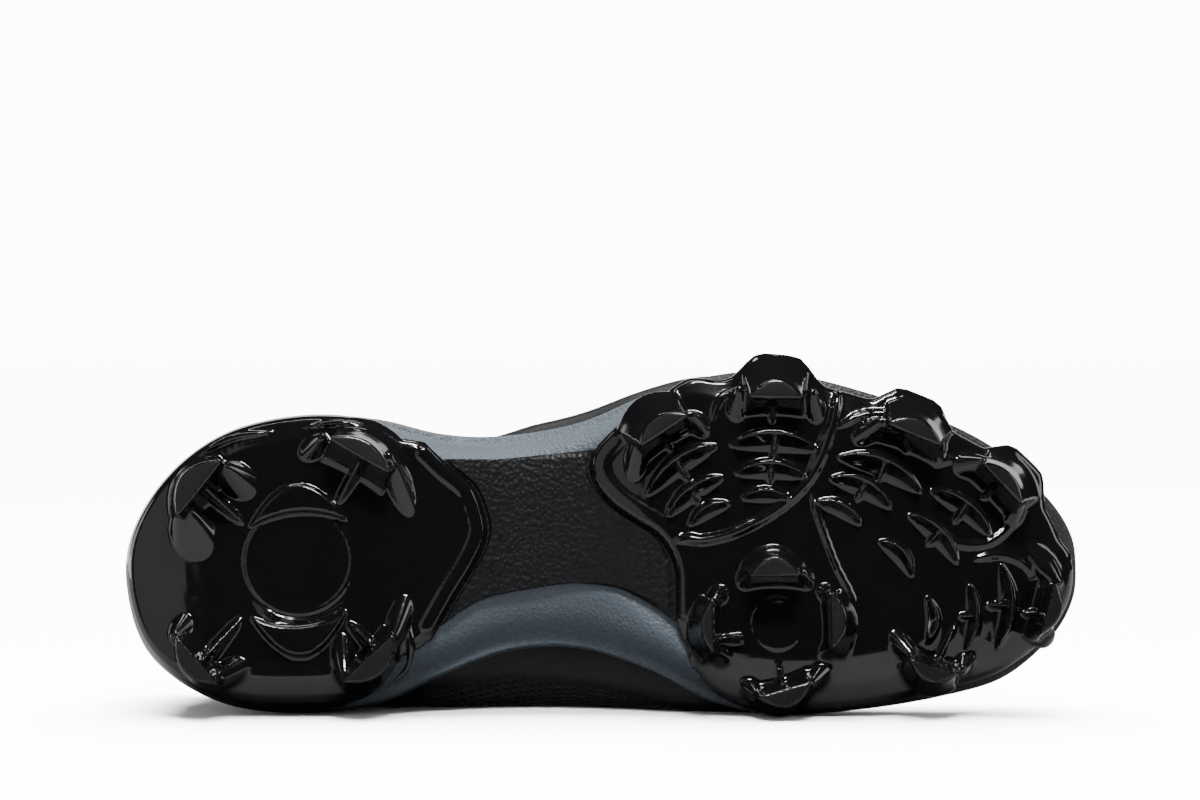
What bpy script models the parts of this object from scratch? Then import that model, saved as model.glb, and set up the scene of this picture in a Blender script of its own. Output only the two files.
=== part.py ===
"""Baseball cleat for the right foot, lying on its inner side.

The shoe is worked out upright, heel at zero and toe along X, the inner side
along Y and height along Z, then the whole shoe is turned onto its side and
set on the floor.
"""
import math

import bmesh
import bpy
from mathutils import Matrix, Vector

# Main sizes of the shoe, in metres
length = 0.297
ball_width = 0.1095
instep = 0.098
stud_height = 0.0115
plate = 0.0030
cup_height = 0.0105
cup_wall = 0.0025
upper_wall = 0.0022
upper_inset = 0.0032
overlay = 0.0011
insole_thickness = 0.0040
shank_thickness = 0.0015
lace_width = 0.0050
lace_thickness = 0.0015
gap = 0.0003
seat = 0.0005

# Columns set out between two neighbouring rows of the outline
fineness = 2

# Outline of the sole, a row for each section from heel to toe
# x is a share of length; lateral, medial and both bevels of ball width;
# tread, lateral top and medial top of instep
outline = (
    # x, lateral, medial, tread, top lateral, top medial, bevel lateral, bevel medial
    (0.000, 0.000, 0.000, 0.158, 0.378, 0.378, 0.060, 0.060),
    (0.014, 0.167, 0.186, 0.144, 0.376, 0.376, 0.060, 0.060),
    (0.048, 0.296, 0.304, 0.122, 0.367, 0.367, 0.060, 0.060),
    (0.108, 0.404, 0.388, 0.117, 0.357, 0.362, 0.060, 0.060),
    (0.185, 0.449, 0.414, 0.117, 0.352, 0.367, 0.060, 0.060),
    (0.263, 0.438, 0.391, 0.119, 0.347, 0.383, 0.064, 0.068),
    (0.330, 0.398, 0.312, 0.143, 0.342, 0.403, 0.080, 0.110),
    (0.404, 0.388, 0.235, 0.184, 0.337, 0.408, 0.085, 0.155),
    (0.478, 0.420, 0.230, 0.179, 0.321, 0.388, 0.080, 0.155),
    (0.549, 0.497, 0.296, 0.138, 0.301, 0.347, 0.066, 0.090),
    (0.620, 0.550, 0.394, 0.119, 0.286, 0.311, 0.060, 0.060),
    (0.690, 0.558, 0.427, 0.117, 0.281, 0.291, 0.060, 0.060),
    (0.771, 0.508, 0.414, 0.126, 0.284, 0.286, 0.060, 0.060),
    (0.848, 0.436, 0.368, 0.151, 0.301, 0.301, 0.060, 0.060),
    (0.919, 0.342, 0.310, 0.190, 0.335, 0.335, 0.060, 0.060),
    (0.971, 0.212, 0.196, 0.231, 0.373, 0.373, 0.060, 0.060),
    (0.995, 0.094, 0.092, 0.251, 0.394, 0.394, 0.060, 0.060),
    (1.000, 0.004, -0.004, 0.255, 0.398, 0.398, 0.060, 0.060),
)

# Upper, a row for each outline row it is set out from
# low, high and edge are the two pulls and the end of a curve that climbs
# from the sole to the opening; x shares of length, sides of ball width,
# heights of instep
upper_rows = (
    # row, low x, lateral, medial, height, high x, lateral, medial, height, edge x, lateral, medial, height
    (0, -0.017, 0.000, 0.000, 0.561, 0.020, 0.000, 0.000, 0.796, 0.030, 0.000, 0.000, 0.980),
    (2, 0.037, 0.329, 0.311, 0.541, 0.057, 0.201, 0.192, 0.796, 0.054, 0.146, 0.137, 0.954),
    (3, 0.104, 0.411, 0.366, 0.520, 0.111, 0.301, 0.275, 0.745, 0.101, 0.251, 0.237, 0.888),
    (4, 0.185, 0.438, 0.372, 0.510, 0.189, 0.356, 0.318, 0.704, 0.168, 0.301, 0.283, 0.821),
    (5, 0.266, 0.429, 0.370, 0.520, 0.263, 0.365, 0.338, 0.724, 0.242, 0.306, 0.288, 0.821),
    (6, 0.333, 0.420, 0.378, 0.541, 0.327, 0.361, 0.372, 0.786, 0.303, 0.269, 0.256, 0.898),
    (7, 0.407, 0.429, 0.390, 0.531, 0.387, 0.347, 0.395, 0.857, 0.357, 0.196, 0.178, 0.990),
    (8, 0.481, 0.476, 0.380, 0.490, 0.451, 0.356, 0.385, 0.806, 0.424, 0.160, 0.142, 0.898),
    (9, 0.549, 0.516, 0.385, 0.439, 0.508, 0.374, 0.356, 0.745, 0.488, 0.142, 0.123, 0.811),
    (10, 0.623, 0.548, 0.402, 0.388, 0.579, 0.393, 0.347, 0.673, 0.549, 0.123, 0.105, 0.724),
    (11, 0.694, 0.566, 0.418, 0.367, 0.643, 0.393, 0.338, 0.612, 0.599, 0.105, 0.087, 0.658),
    (12, 0.778, 0.530, 0.402, 0.357, 0.714, 0.338, 0.292, 0.571, 0.640, 0.078, 0.068, 0.612),
    (14, 0.926, 0.365, 0.301, 0.429, 0.795, 0.155, 0.137, 0.582, 0.667, 0.037, 0.037, 0.584),
    (17, 1.000, 0.018, -0.018, 0.520, 0.818, 0.023, -0.023, 0.622, 0.673, 0.000, 0.000, 0.580),
)

# Edge of each rubber pod across the waist, x of length and side of ball width
heel_pod_edge = (
    (0.316, 0.347), (0.340, 0.283), (0.367, 0.219), (0.380, 0.128), (0.380, 0.064),
    (0.367, -0.018), (0.347, -0.110), (0.324, -0.225),
)
fore_pod_edge = (
    (0.577, -0.174), (0.577, -0.091), (0.576, -0.027),
    (0.569, 0.027), (0.556, 0.073), (0.535, 0.110), (0.512, 0.155), (0.495, 0.210),
    (0.488, 0.256), (0.488, 0.301), (0.498, 0.347), (0.515, 0.393),
)
heel_pod_centre = (0.185, 0.030)
fore_pod_centre = (0.740, 0.060)

# Free edges of the waist panel, from the heel pod to the forefoot pod
shank_lateral = ((0.352, 0.297), (0.395, 0.303), (0.438, 0.314), (0.480, 0.326))
shank_medial = (
    (0.346, -0.145), (0.387, -0.075), (0.438, -0.058), (0.481, -0.058),
    (0.515, -0.072), (0.545, -0.112), (0.568, -0.160),
)

# Swellings of the forefoot pod where studs stand out past the foam
# x of length, side, how far out and half spread of ball width
outriggers = (
    (0.572, 1, 0.034, 0.090),
    (0.684, 1, 0.054, 0.150),
    (0.834, 1, 0.050, 0.120),
    (0.945, 1, 0.042, 0.090),
    (0.980, -1, 0.012, 0.110),
)

# Tall studs at the rim. Heading is the way the outer face looks, in degrees
# from the toe toward the outer side; the rest are shares of ball width
studs = (
    # name, x, side, heading, chord, bow, outward spread, inward spread, fin length
    ("heel_lateral_back", 0.076, 0.224, 147, 0.183, 0.037, 0.046, 0.064, 0.155),
    ("heel_lateral_front", 0.249, 0.301, 59, 0.201, 0.046, 0.046, 0.073, 0.137),
    ("heel_medial_back", 0.079, -0.288, -135, 0.168, 0.034, 0.036, 0.064, 0.146),
    ("heel_medial_front", 0.259, -0.288, -61, 0.168, 0.032, 0.036, 0.064, 0.110),
    ("lateral_rear", 0.564, 0.379, 125, 0.146, 0.041, 0.070, 0.055, 0.064),
    ("lateral_ball", 0.684, 0.466, 90, 0.151, 0.055, 0.078, 0.055, 0.082),
    ("lateral_front", 0.828, 0.356, 60, 0.164, 0.050, 0.068, 0.055, 0.064),
    ("lateral_toe", 0.919, 0.224, 40, 0.174, 0.041, 0.060, 0.055, 0.064),
    ("toe", 0.966, -0.073, 2, 0.183, 0.037, 0.027, 0.055, 0.055),
    ("medial_front", 0.848, -0.274, -94, 0.174, 0.050, 0.025, 0.055, 0.137),
    ("medial_ball", 0.689, -0.352, -80, 0.142, 0.050, 0.012, 0.055, 0.082),
    ("pivot_lateral", 0.682, -0.032, 90, 0.155, 0.050, 0.037, 0.027, 0.000),
    ("pivot_front", 0.739, -0.174, 0, 0.137, 0.037, 0.037, 0.027, 0.000),
    ("pivot_rear", 0.616, -0.178, 180, 0.128, 0.032, 0.037, 0.027, 0.000),
)

# Low blades that follow each tall stud inward
blades = (
    # name, x, side, heading, chord, bow, height as a share of the tall studs
    ("A1", 0.586, 0.279, 127, 0.228, 0.046, 0.484),
    ("A2", 0.599, 0.205, 129, 0.188, 0.038, 0.403),
    ("A3", 0.614, 0.146, 126, 0.124, 0.027, 0.323),
    ("B1", 0.682, 0.352, 90, 0.228, 0.050, 0.484),
    ("B2", 0.678, 0.269, 90, 0.192, 0.041, 0.403),
    ("B3", 0.673, 0.201, 90, 0.128, 0.027, 0.323),
    ("C1", 0.793, 0.274, 69, 0.222, 0.046, 0.484),
    ("C2", 0.771, 0.219, 66, 0.180, 0.038, 0.403),
    ("C3", 0.749, 0.160, 69, 0.128, 0.027, 0.323),
    ("D1", 0.879, 0.160, 50, 0.190, 0.042, 0.484),
    ("D2", 0.848, 0.091, 45, 0.183, 0.037, 0.403),
    ("D3", 0.808, 0.037, 40, 0.142, 0.033, 0.323),
    ("E1", 0.916, -0.100, -4, 0.228, 0.042, 0.484),
    ("E2", 0.882, -0.132, -2, 0.174, 0.033, 0.403),
    ("E3", 0.842, -0.142, 0, 0.137, 0.029, 0.323),
)

# Raised rounds on the pods: x of length, side and radius of ball width,
# height as a share of the tall studs
rounds = (
    ("medallion", 0.185, 0.000, 0.155, 0.085),
    ("pivot_dish", 0.684, -0.183, 0.088, 0.085),
)

# Arched ridges that hug the heel round: heading in degrees, distance from
# the round's middle, chord, bow as shares of ball width, height share
ridges = (
    ("ridge_lateral", 92, 0.125, 0.265, 0.084, 0.200),
    ("ridge_medial", -91, 0.130, 0.260, 0.090, 0.200),
)

# Tongue, a row for each section from the vamp to its top
# x of length, middle height of instep, half width and side drop of ball width,
# thickness in metres
tongue_rows = (
    (0.714, 0.549, 0.120, 0.020, 0.0022),
    (0.667, 0.551, 0.150, 0.024, 0.0024),
    (0.623, 0.602, 0.175, 0.042, 0.0028),
    (0.562, 0.690, 0.195, 0.052, 0.0032),
    (0.488, 0.797, 0.215, 0.066, 0.0036),
    (0.411, 0.908, 0.212, 0.080, 0.0040),
    (0.355, 0.978, 0.186, 0.080, 0.0044),
    (0.315, 1.045, 0.182, 0.070, 0.0048),
    (0.285, 1.130, 0.182, 0.065, 0.0048),
    (0.270, 1.200, 0.165, 0.050, 0.0042),
)

# Outline rows that carry a pair of lace holes, and their place up the upper
eyelet_rows = (7.35, 8.2, 9.05, 9.9, 10.75, 11.6)
eyelet_rise = 0.88
eyestay_span = (6.75, 0.80, 0.97)
collar_span = (6.45, 0.86, 0.975)

materials = {
    "outsole_heel": ((0.012, 0.012, 0.014), 0.16),
    "outsole_forefoot": ((0.012, 0.012, 0.014), 0.16),
    "shank": ((0.020, 0.021, 0.023), 0.55),
    "midsole": ((0.36, 0.42, 0.49), 0.75),
    "insole": ((0.06, 0.06, 0.065), 0.9),
    "upper": ((0.025, 0.025, 0.028), 0.8),
    "eyestay": ((0.018, 0.018, 0.02), 0.5),
    "collar": ((0.03, 0.03, 0.033), 0.9),
    "tongue": ((0.03, 0.03, 0.033), 0.9),
    "laces": ((0.02, 0.02, 0.022), 0.85),
}

last = len(outline) - 1
turns = 2 * last
columns = turns * fineness


def closed_knots(rows, keys, lateral, medial, flip=False):
    """Knots and values right round the shoe, outer side first."""
    sign = -1.0 if flip else 1.0
    out = [(float(k), row[lateral]) for k, row in zip(keys, rows)]
    back = [(float(turns - k), sign * row[medial]) for k, row in zip(keys, rows)]
    out.extend(reversed(back[1:-1]))
    return out


def around(knots, place):
    """Smooth value at a place right round the shoe."""
    place = place % turns
    count = len(knots)
    index = count - 1
    for i in range(count):
        if knots[i][0] <= place:
            index = i
    ks = []
    vs = []
    for step in (-1, 0, 1, 2):
        lap, which = divmod(index + step, count)
        ks.append(knots[which][0] + lap * turns)
        vs.append(knots[which][1])
    span = ks[2] - ks[1]
    t = (place - ks[1]) / span
    near = (vs[2] - vs[0]) / (ks[2] - ks[0]) * span
    far = (vs[3] - vs[1]) / (ks[3] - ks[1]) * span
    t2 = t * t
    t3 = t2 * t
    return ((2 * t3 - 3 * t2 + 1) * vs[1] + (t3 - 2 * t2 + t) * near
            + (3 * t2 - 2 * t3) * vs[2] + (t3 - t2) * far)


def along(rows, column, key):
    """Smooth value between table rows whose first column is the key."""
    keys = [row[0] for row in rows]
    if keys[0] > keys[-1]:
        rows = rows[::-1]
        keys = keys[::-1]
    key = min(max(key, keys[0]), keys[-1])
    i = 0
    while i < len(keys) - 2 and keys[i + 1] < key:
        i += 1
    a = max(i - 1, 0)
    d = min(i + 2, len(keys) - 1)
    span = keys[i + 1] - keys[i]
    t = (key - keys[i]) / span
    near = (rows[i + 1][column] - rows[a][column]) / (keys[i + 1] - keys[a]) * span
    far = (rows[d][column] - rows[i][column]) / (keys[d] - keys[i]) * span
    t2 = t * t
    t3 = t2 * t
    return ((2 * t3 - 3 * t2 + 1) * rows[i][column] + (t3 - 2 * t2 + t) * near
            + (3 * t2 - 2 * t3) * rows[i + 1][column] + (t3 - t2) * far)


row_keys = list(range(last + 1))
plan_x = closed_knots(outline, row_keys, 0, 0)
plan_side = closed_knots(outline, row_keys, 1, 2, flip=True)
top_knots = closed_knots(outline, row_keys, 4, 5)
bevel_knots = closed_knots(outline, row_keys, 6, 7)
upper_keys = [row[0] for row in upper_rows]
low_x = closed_knots(upper_rows, upper_keys, 1, 1)
low_side = closed_knots(upper_rows, upper_keys, 2, 3, flip=True)
low_h = closed_knots(upper_rows, upper_keys, 4, 4)
high_x = closed_knots(upper_rows, upper_keys, 5, 5)
high_side = closed_knots(upper_rows, upper_keys, 6, 7, flip=True)
high_h = closed_knots(upper_rows, upper_keys, 8, 8)
edge_x = closed_knots(upper_rows, upper_keys, 9, 9)
edge_side = closed_knots(upper_rows, upper_keys, 10, 11, flip=True)
edge_h = closed_knots(upper_rows, upper_keys, 12, 12)


def tread(x):
    """Height of the sole's underside at a distance from the heel."""
    return along(outline, 3, x / length) * instep


def rim(place, inset=0.0):
    """Plan point on the outline, moved inward, with its inward direction."""
    x = around(plan_x, place) * length
    side = around(plan_side, place) * ball_width
    step = 0.05
    ahead_x = around(plan_x, place + step) - around(plan_x, place - step)
    ahead_side = around(plan_side, place + step) - around(plan_side, place - step)
    run = Vector((ahead_x * length, ahead_side * ball_width)).normalized()
    inward = Vector((run.y, -run.x))
    return Vector((x, side)) + inward * inset, inward


def raised(plan, height):
    """Point of the shoe from a plan point and a height."""
    return Vector((plan.x, -plan.y, height))


def foam_section(place):
    """Foam side of one column, as inset and height pairs from below."""
    bevel = around(bevel_knots, place) * ball_width
    top = around(top_knots, place) * instep
    wall = cup_wall + gap
    under = tread(rim(place, bevel)[0].x) + plate
    cup = tread(rim(place, wall)[0].x) + cup_height + plate * 0.5
    cup = min(cup, top - 0.0060)
    knee = under + (cup - under) * 0.35
    return ((bevel, under), (wall + (bevel - wall) * 0.45, knee), (wall, cup),
            (0.0003, cup + 0.0012), (0.0, (cup + top) * 0.5),
            (0.0008, top - 0.0012), (0.0020, top),
            (upper_inset + upper_wall + 0.0008, top))


def loft(loops, caps, name):
    """Closed solid between loops of equal count, ends filled across."""
    mesh = bmesh.new()
    rings = [[mesh.verts.new(p) for p in loop] for loop in loops]
    count = len(rings[0])
    for low, high in zip(rings, rings[1:]):
        for i in range(count):
            j = (i + 1) % count
            mesh.faces.new((low[i], low[j], high[j], high[i]))
    for ring in (rings[0], rings[-1]):
        if caps == "across":
            half = count // 2
            mesh.faces.new((ring[0], ring[1], ring[-1]))
            for i in range(1, half - 1):
                mesh.faces.new((ring[i], ring[i + 1], ring[count - i - 1], ring[count - i]))
            mesh.faces.new((ring[half - 1], ring[half], ring[half + 1]))
        else:
            mesh.faces.new(ring)
    return finished(mesh, name)


def finished(mesh, name):
    """Object from a mesh, faces turned outward and shaded smooth."""
    bmesh.ops.triangulate(mesh, faces=[f for f in mesh.faces if len(f.verts) > 4])
    bmesh.ops.recalc_face_normals(mesh, faces=mesh.faces[:])
    data = bpy.data.meshes.new(name)
    mesh.to_mesh(data)
    mesh.free()
    for face in data.polygons:
        face.use_smooth = True
    data.set_sharp_from_angle(angle=math.radians(38))
    item = bpy.data.objects.new(name, data)
    bpy.context.scene.collection.objects.link(item)
    return item


def grid_solid(outer, inner, name, closed=False):
    """Closed sheet between two grids of points of the same count."""
    mesh = bmesh.new()
    a = [[mesh.verts.new(p) for p in row] for row in outer]
    b = [[mesh.verts.new(p) for p in row] for row in inner]
    rows = len(a)
    cols = len(a[0])
    span = cols if closed else cols - 1
    for i in range(rows - 1):
        for j in range(span):
            k = (j + 1) % cols
            mesh.faces.new((a[i][j], a[i][k], a[i + 1][k], a[i + 1][j]))
            mesh.faces.new((b[i + 1][j], b[i + 1][k], b[i][k], b[i][j]))
    for i in (0, rows - 1):
        for j in range(span):
            k = (j + 1) % cols
            mesh.faces.new((a[i][j], a[i][k], b[i][k], b[i][j]))
    if not closed:
        for j in (0, cols - 1):
            for i in range(rows - 1):
                mesh.faces.new((a[i][j], a[i + 1][j], b[i + 1][j], b[i][j]))
    return finished(mesh, name)


def fuse(base, other, operation="UNION"):
    """Join another form to a base, or cut it away."""
    change = base.modifiers.new(other.name, "BOOLEAN")
    change.operation = operation
    change.solver = "EXACT"
    change.object = other
    other.hide_render = True
    other.display_type = "WIRE"


def build_midsole():
    places = [i / fineness for i in range(columns)]
    sections = [foam_section(place) for place in places]
    loops = []
    for level in range(len(sections[0])):
        loop = []
        for place, section in zip(places, sections):
            inset, height = section[level]
            loop.append(raised(rim(place, inset)[0], height))
        loops.append(loop)
    return loft(loops, "across", "midsole")


def pod_columns(first, final, edge):
    """Columns round one pod: the rim from first to final, then its waist edge."""
    found = []
    steps = round((final - first) * fineness)
    for i in range(steps + 1):
        place = first + i / fineness
        ends = min(i, steps - i)
        rise = min(ends * 0.5, 1.0)
        plan, inward = rim(place)
        section = foam_section(place)
        out = 0.0
        for x, side, reach, spread in outriggers:
            if (plan.y > 0) == (side > 0):
                far = abs(plan.x - x * length) / (spread * ball_width)
                if far < 1.0:
                    out += reach * ball_width * (1.0 - far * far) ** 2
        found.append((plan, inward, section, rise, out))
    points = [Vector((x * length, side * ball_width)) for x, side in edge]
    before = [rim(final)[0]] + points[:-1]
    after = points[1:] + [rim(first)[0]]
    for plan, a, b in zip(points, before, after):
        run = (b - a).normalized()
        found.append((plan, Vector((run.y, -run.x)), None, 0.0, 0.0))
    return found


def pod_rings(column):
    """Inset and height pairs of one pod column, underside first."""
    plan, inward, section, rise, out = column
    if section is None:
        top = plate - seat
        steps = ((0.0065, 0.0), (0.0026, 0.0003), (0.0006, 0.0012), (0.0, top - 0.0003),
                 (0.0012, top), (0.0020, top), (0.0030, top))
        return [(inset, tread((plan + inward * inset).x) + lift) for inset, lift in steps]
    (bevel, under), (knee_in, knee), (wall, cup) = section[:3]
    slack = gap * 0.8 if rise == 1.0 else seat * 1.5
    path = ((bevel, under - seat), (knee_in - slack, knee - slack), (wall - gap, cup))

    def walk(share):
        if share <= 0.5:
            a, b, t = path[0], path[1], share * 2
        else:
            a, b, t = path[1], path[2], share * 2 - 1
        return a[0] + (b[0] - a[0]) * t, a[1] + (b[1] - a[1]) * t

    lip_in, lip = walk(rise)
    mid_in, mid = walk(rise * 0.5)
    if rise == 0:
        path = ((bevel + 0.0012, under - seat * 2),)
        lip = under - seat * 2
        mid = lip
        mid_in = bevel + 0.0006
    face = lip_in - cup_wall + gap * 0.5
    low = tread((plan + inward * (face + 0.003)).x)
    side = low + (lip - low) * 0.3
    return ((face + 0.0035 + 0.0030 * rise, low), (face + 0.0026 - out * 0.4, low + 0.0004),
            (face + 0.0006 - out, side), (face - out * 0.8, lip - 0.0004),
            (lip_in, lip), (mid_in, mid), path[0])


def build_pod(name, first, final, edge, centre):
    columns_here = pod_columns(first, final, edge)
    middle = Vector((centre[0] * length, centre[1] * ball_width))
    profiles = [pod_rings(column) for column in columns_here]
    mesh = bmesh.new()
    rings = []

    def ring_of(level, share, drop):
        ring = []
        for column, profile in zip(columns_here, profiles):
            inset, height = profile[level]
            plan = column[0] + column[1] * inset
            if share < 1.0:
                plan = middle + (plan - middle) * share
                height = tread(plan.x) + drop
            ring.append(mesh.verts.new(raised(plan, height)))
        rings.append(ring)

    for share in (0.3, 0.6, 0.85):
        ring_of(0, share, 0.0)
    for level in range(7):
        ring_of(level, 1.0, 0.0)
    for share in (0.85, 0.6, 0.3):
        ring_of(6, share, plate - seat)
    count = len(profiles)
    for low, high in zip(rings, rings[1:]):
        for i in range(count):
            j = (i + 1) % count
            mesh.faces.new((low[i], low[j], high[j], high[i]))
    for ring, drop in ((rings[0], 0.0), (rings[-1], plate - seat)):
        hub = mesh.verts.new(raised(middle, tread(middle.x) + drop))
        for i in range(count):
            mesh.faces.new((ring[i], ring[(i + 1) % count], hub))
    return finished(mesh, name)


def crescent(centre, heading, chord, bow, outward, inward, hollow):
    """Plan loop of a half moon whose round side looks along the heading."""
    ahead = Vector((math.cos(heading), math.sin(heading)))
    across = Vector((-ahead.y, ahead.x))
    loop = []
    for i in range(6):
        v = i / 2.5 - 1.0
        loop.append(centre + across * (chord * 0.5 * v) + ahead * (bow * (1.0 - v * v) + outward))
    for i in range(4):
        v = 0.90 - i * 0.60
        loop.append(centre + across * (chord * 0.5 * v) + ahead * (hollow * bow * (1.0 - v * v) - inward))
    return loop


def lug(mesh, centre, heading, chord, bow, outward, inward, height, hollow=-0.3):
    """One tapered lug standing on the tread."""
    slope = (tread(centre.x + 0.004) - tread(centre.x - 0.004)) / 0.008
    rings = []
    for reach, flare, wide in ((-0.0014, 1.1, 1.16), (0.55 * height, 0.36, 1.06), (height, 0.0, 1.0)):
        shift = centre + Vector((slope * reach, 0.0))
        loop = crescent(shift, heading, chord * wide, bow, outward * flare, inward * flare + 0.0003,
                        hollow)
        ring = []
        for plan in loop:
            if reach < 0:
                level = tread(plan.x) - reach
            else:
                level = tread(centre.x) - reach + slope * (plan.x - centre.x)
            ring.append(mesh.verts.new(raised(plan, level)))
        rings.append(ring)
    count = len(rings[0])
    for low, high in zip(rings, rings[1:]):
        for i in range(count):
            j = (i + 1) % count
            mesh.faces.new((low[i], low[j], high[j], high[i]))
    mesh.faces.new(rings[0])
    mesh.faces.new(rings[-1])


def fin(mesh, centre, heading, reach, height):
    """Web that runs inward from a tall stud and slopes away."""
    ahead = Vector((math.cos(heading), math.sin(heading)))
    across = Vector((-ahead.y, ahead.x))
    rings = []
    for far, tall, wide in ((-0.0010, 0.72, 0.0024), (reach, 0.12, 0.0009)):
        here = centre - ahead * far
        ring = []
        for side, level in ((1, 0), (-1, 0), (-0.6, 1), (0.6, 1)):
            plan = here + across * (wide * side)
            base = tread(plan.x)
            ring.append(mesh.verts.new(raised(plan, base + 0.0012 if level == 0 else base - tall * height)))
        rings.append(ring)
    for i in range(4):
        j = (i + 1) % 4
        mesh.faces.new((rings[0][i], rings[0][j], rings[1][j], rings[1][i]))
    mesh.faces.new(rings[0])
    mesh.faces.new(rings[1])


def in_pod(x, heel):
    return (x < 0.45) == heel


def build_studs(name, heel):
    """Studs, webs and low forms of one pod, each kind one object."""
    tall = bmesh.new()
    webs = bmesh.new()
    low = bmesh.new()
    for row in studs:
        if not in_pod(row[1], heel):
            continue
        centre = Vector((row[1] * length, row[2] * ball_width))
        heading = math.radians(row[3])
        chord, bow, outward, inward, reach = [value * ball_width for value in row[4:]]
        lug(tall, centre, heading, chord, bow, outward, inward, stud_height)
        if reach > 0:
            fin(webs, centre, heading, reach, stud_height)
    for row in blades:
        if not in_pod(row[1], heel):
            continue
        centre = Vector((row[1] * length, row[2] * ball_width))
        chord = row[4] * ball_width
        bow = row[5] * ball_width
        lug(low, centre, math.radians(row[3]), chord, bow, 0.0006, 0.0016, row[6] * stud_height, -0.1)
    for label, x, side, radius, share in rounds:
        if not in_pod(x, heel):
            continue
        centre = Vector((x * length, side * ball_width))
        bottom = []
        top = []
        for i in range(20):
            turn = math.tau * i / 20
            ray = Vector((math.cos(turn), math.sin(turn)))
            plan = centre + ray * radius * ball_width
            bottom.append(low.verts.new(raised(plan, tread(plan.x) + 0.0012)))
            plan = centre + ray * (radius * ball_width - 0.0004)
            top.append(low.verts.new(raised(plan, tread(plan.x) - share * stud_height)))
        for i in range(20):
            j = (i + 1) % 20
            low.faces.new((bottom[i], bottom[j], top[j], top[i]))
        low.faces.new(bottom)
        low.faces.new(top)
    if heel:
        hub = rounds[0]
        for label, turn, far, chord, bow, share in ridges:
            heading = math.radians(turn)
            ray = Vector((math.cos(heading), math.sin(heading)))
            centre = Vector((hub[1] * length, hub[2] * ball_width)) + ray * far * ball_width
            lug(low, centre, heading, chord * ball_width, bow * ball_width, 0.0006, 0.0004,
                share * stud_height, 0.72)
    return (finished(tall, name + "_studs"), finished(webs, name + "_webs"),
            finished(low, name + "_blades"))


def build_shank():
    """Thin panel across the waist, between the two pods."""
    def scaled(points):
        return [Vector((x * length, side * ball_width)) for x, side in points]

    def spaced(points, share):
        runs = [(b - a).length for a, b in zip(points, points[1:])]
        want = share * sum(runs)
        for a, b, run in zip(points, points[1:], runs):
            if want <= run:
                return a.lerp(b, want / run)
            want -= run
        return points[-1].copy()

    groove = 0.0015
    heel_line = [p + Vector((groove, 0.0)) for p in scaled(heel_pod_edge)]
    heel_line = [p for p in heel_line if -0.20 * ball_width < p.y < 0.30 * ball_width]
    heel_line = [scaled(shank_lateral)[0]] + heel_line + [scaled(shank_medial)[0]]
    fore_line = [p - Vector((groove, 0.0)) for p in scaled(fore_pod_edge)[::-1]]
    fore_line = [p for p in fore_line if -0.24 * ball_width < p.y < 0.33 * ball_width]
    upper_line = scaled(shank_lateral)[:-1] + [fore_line[0]]
    lower_line = scaled(shank_medial)[:-1] + [fore_line[-1]]
    rows = []
    for i in range(7):
        v = i / 6
        row = []
        for j in range(12):
            u = j / 11
            edges = (spaced(heel_line, v) * (1 - u) + spaced(fore_line, v) * u
                     + spaced(upper_line, u) * (1 - v) + spaced(lower_line, u) * v)
            corners = (heel_line[0] * (1 - u) * (1 - v) + heel_line[-1] * (1 - u) * v
                       + fore_line[0] * u * (1 - v) + fore_line[-1] * u * v)
            row.append(edges - corners)
        rows.append(row)
    under = [[raised(p, tread(p.x) + plate - seat - shank_thickness) for p in row] for row in rows]
    over = [[raised(p, tread(p.x) + plate - seat) for p in row] for row in rows]
    return grid_solid(under, over, "shank")


def upper_point(place, t):
    """Point on the outside of the upper, t from the sole to the opening."""
    foot, inward = rim(place, upper_inset)
    start = raised(foot, around(top_knots, place) * instep + gap)
    pulls = []
    for xs, sides, heights in ((low_x, low_side, low_h), (high_x, high_side, high_h),
                               (edge_x, edge_side, edge_h)):
        plan = Vector((around(xs, place) * length, around(sides, place) * ball_width))
        pulls.append(raised(plan, around(heights, place) * instep))
    s = 1.0 - t
    return (start * s ** 3 + pulls[0] * 3 * s * s * t + pulls[1] * 3 * s * t * t
            + pulls[2] * t ** 3)


def upper_normal(place, t):
    """Outward direction of the upper's surface."""
    low = max(t - 0.02, 0.0)
    high = min(t + 0.02, 1.0)
    climb = upper_point(place, high) - upper_point(place, low)
    run = upper_point(place + 0.1, t) - upper_point(place - 0.1, t)
    return run.cross(climb).normalized()


upper_rises = (0.0, 0.12, 0.28, 0.44, 0.60, 0.76, 0.90, 1.0)


def build_upper():
    places = [i / fineness for i in range(columns)]
    outer = []
    inner = []
    for t in upper_rises:
        outer.append([upper_point(p, t) for p in places])
        row = []
        for p in places:
            point = upper_point(p, t) - upper_normal(p, t) * upper_wall
            if t == 0.0:
                point.z = outer[0][len(row)].z
            row.append(point)
        inner.append(row)
    return grid_solid(outer, inner, "upper", closed=True)


def on_upper(place, t, lift):
    """Point above the upper's own facets at a column."""
    i = 0
    while i < len(upper_rises) - 2 and upper_rises[i + 1] < t:
        i += 1
    share = (t - upper_rises[i]) / (upper_rises[i + 1] - upper_rises[i])
    a = upper_point(place, upper_rises[i]) + upper_normal(place, upper_rises[i]) * lift
    b = upper_point(place, upper_rises[i + 1]) + upper_normal(place, upper_rises[i + 1]) * lift
    return a.lerp(b, share)


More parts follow.
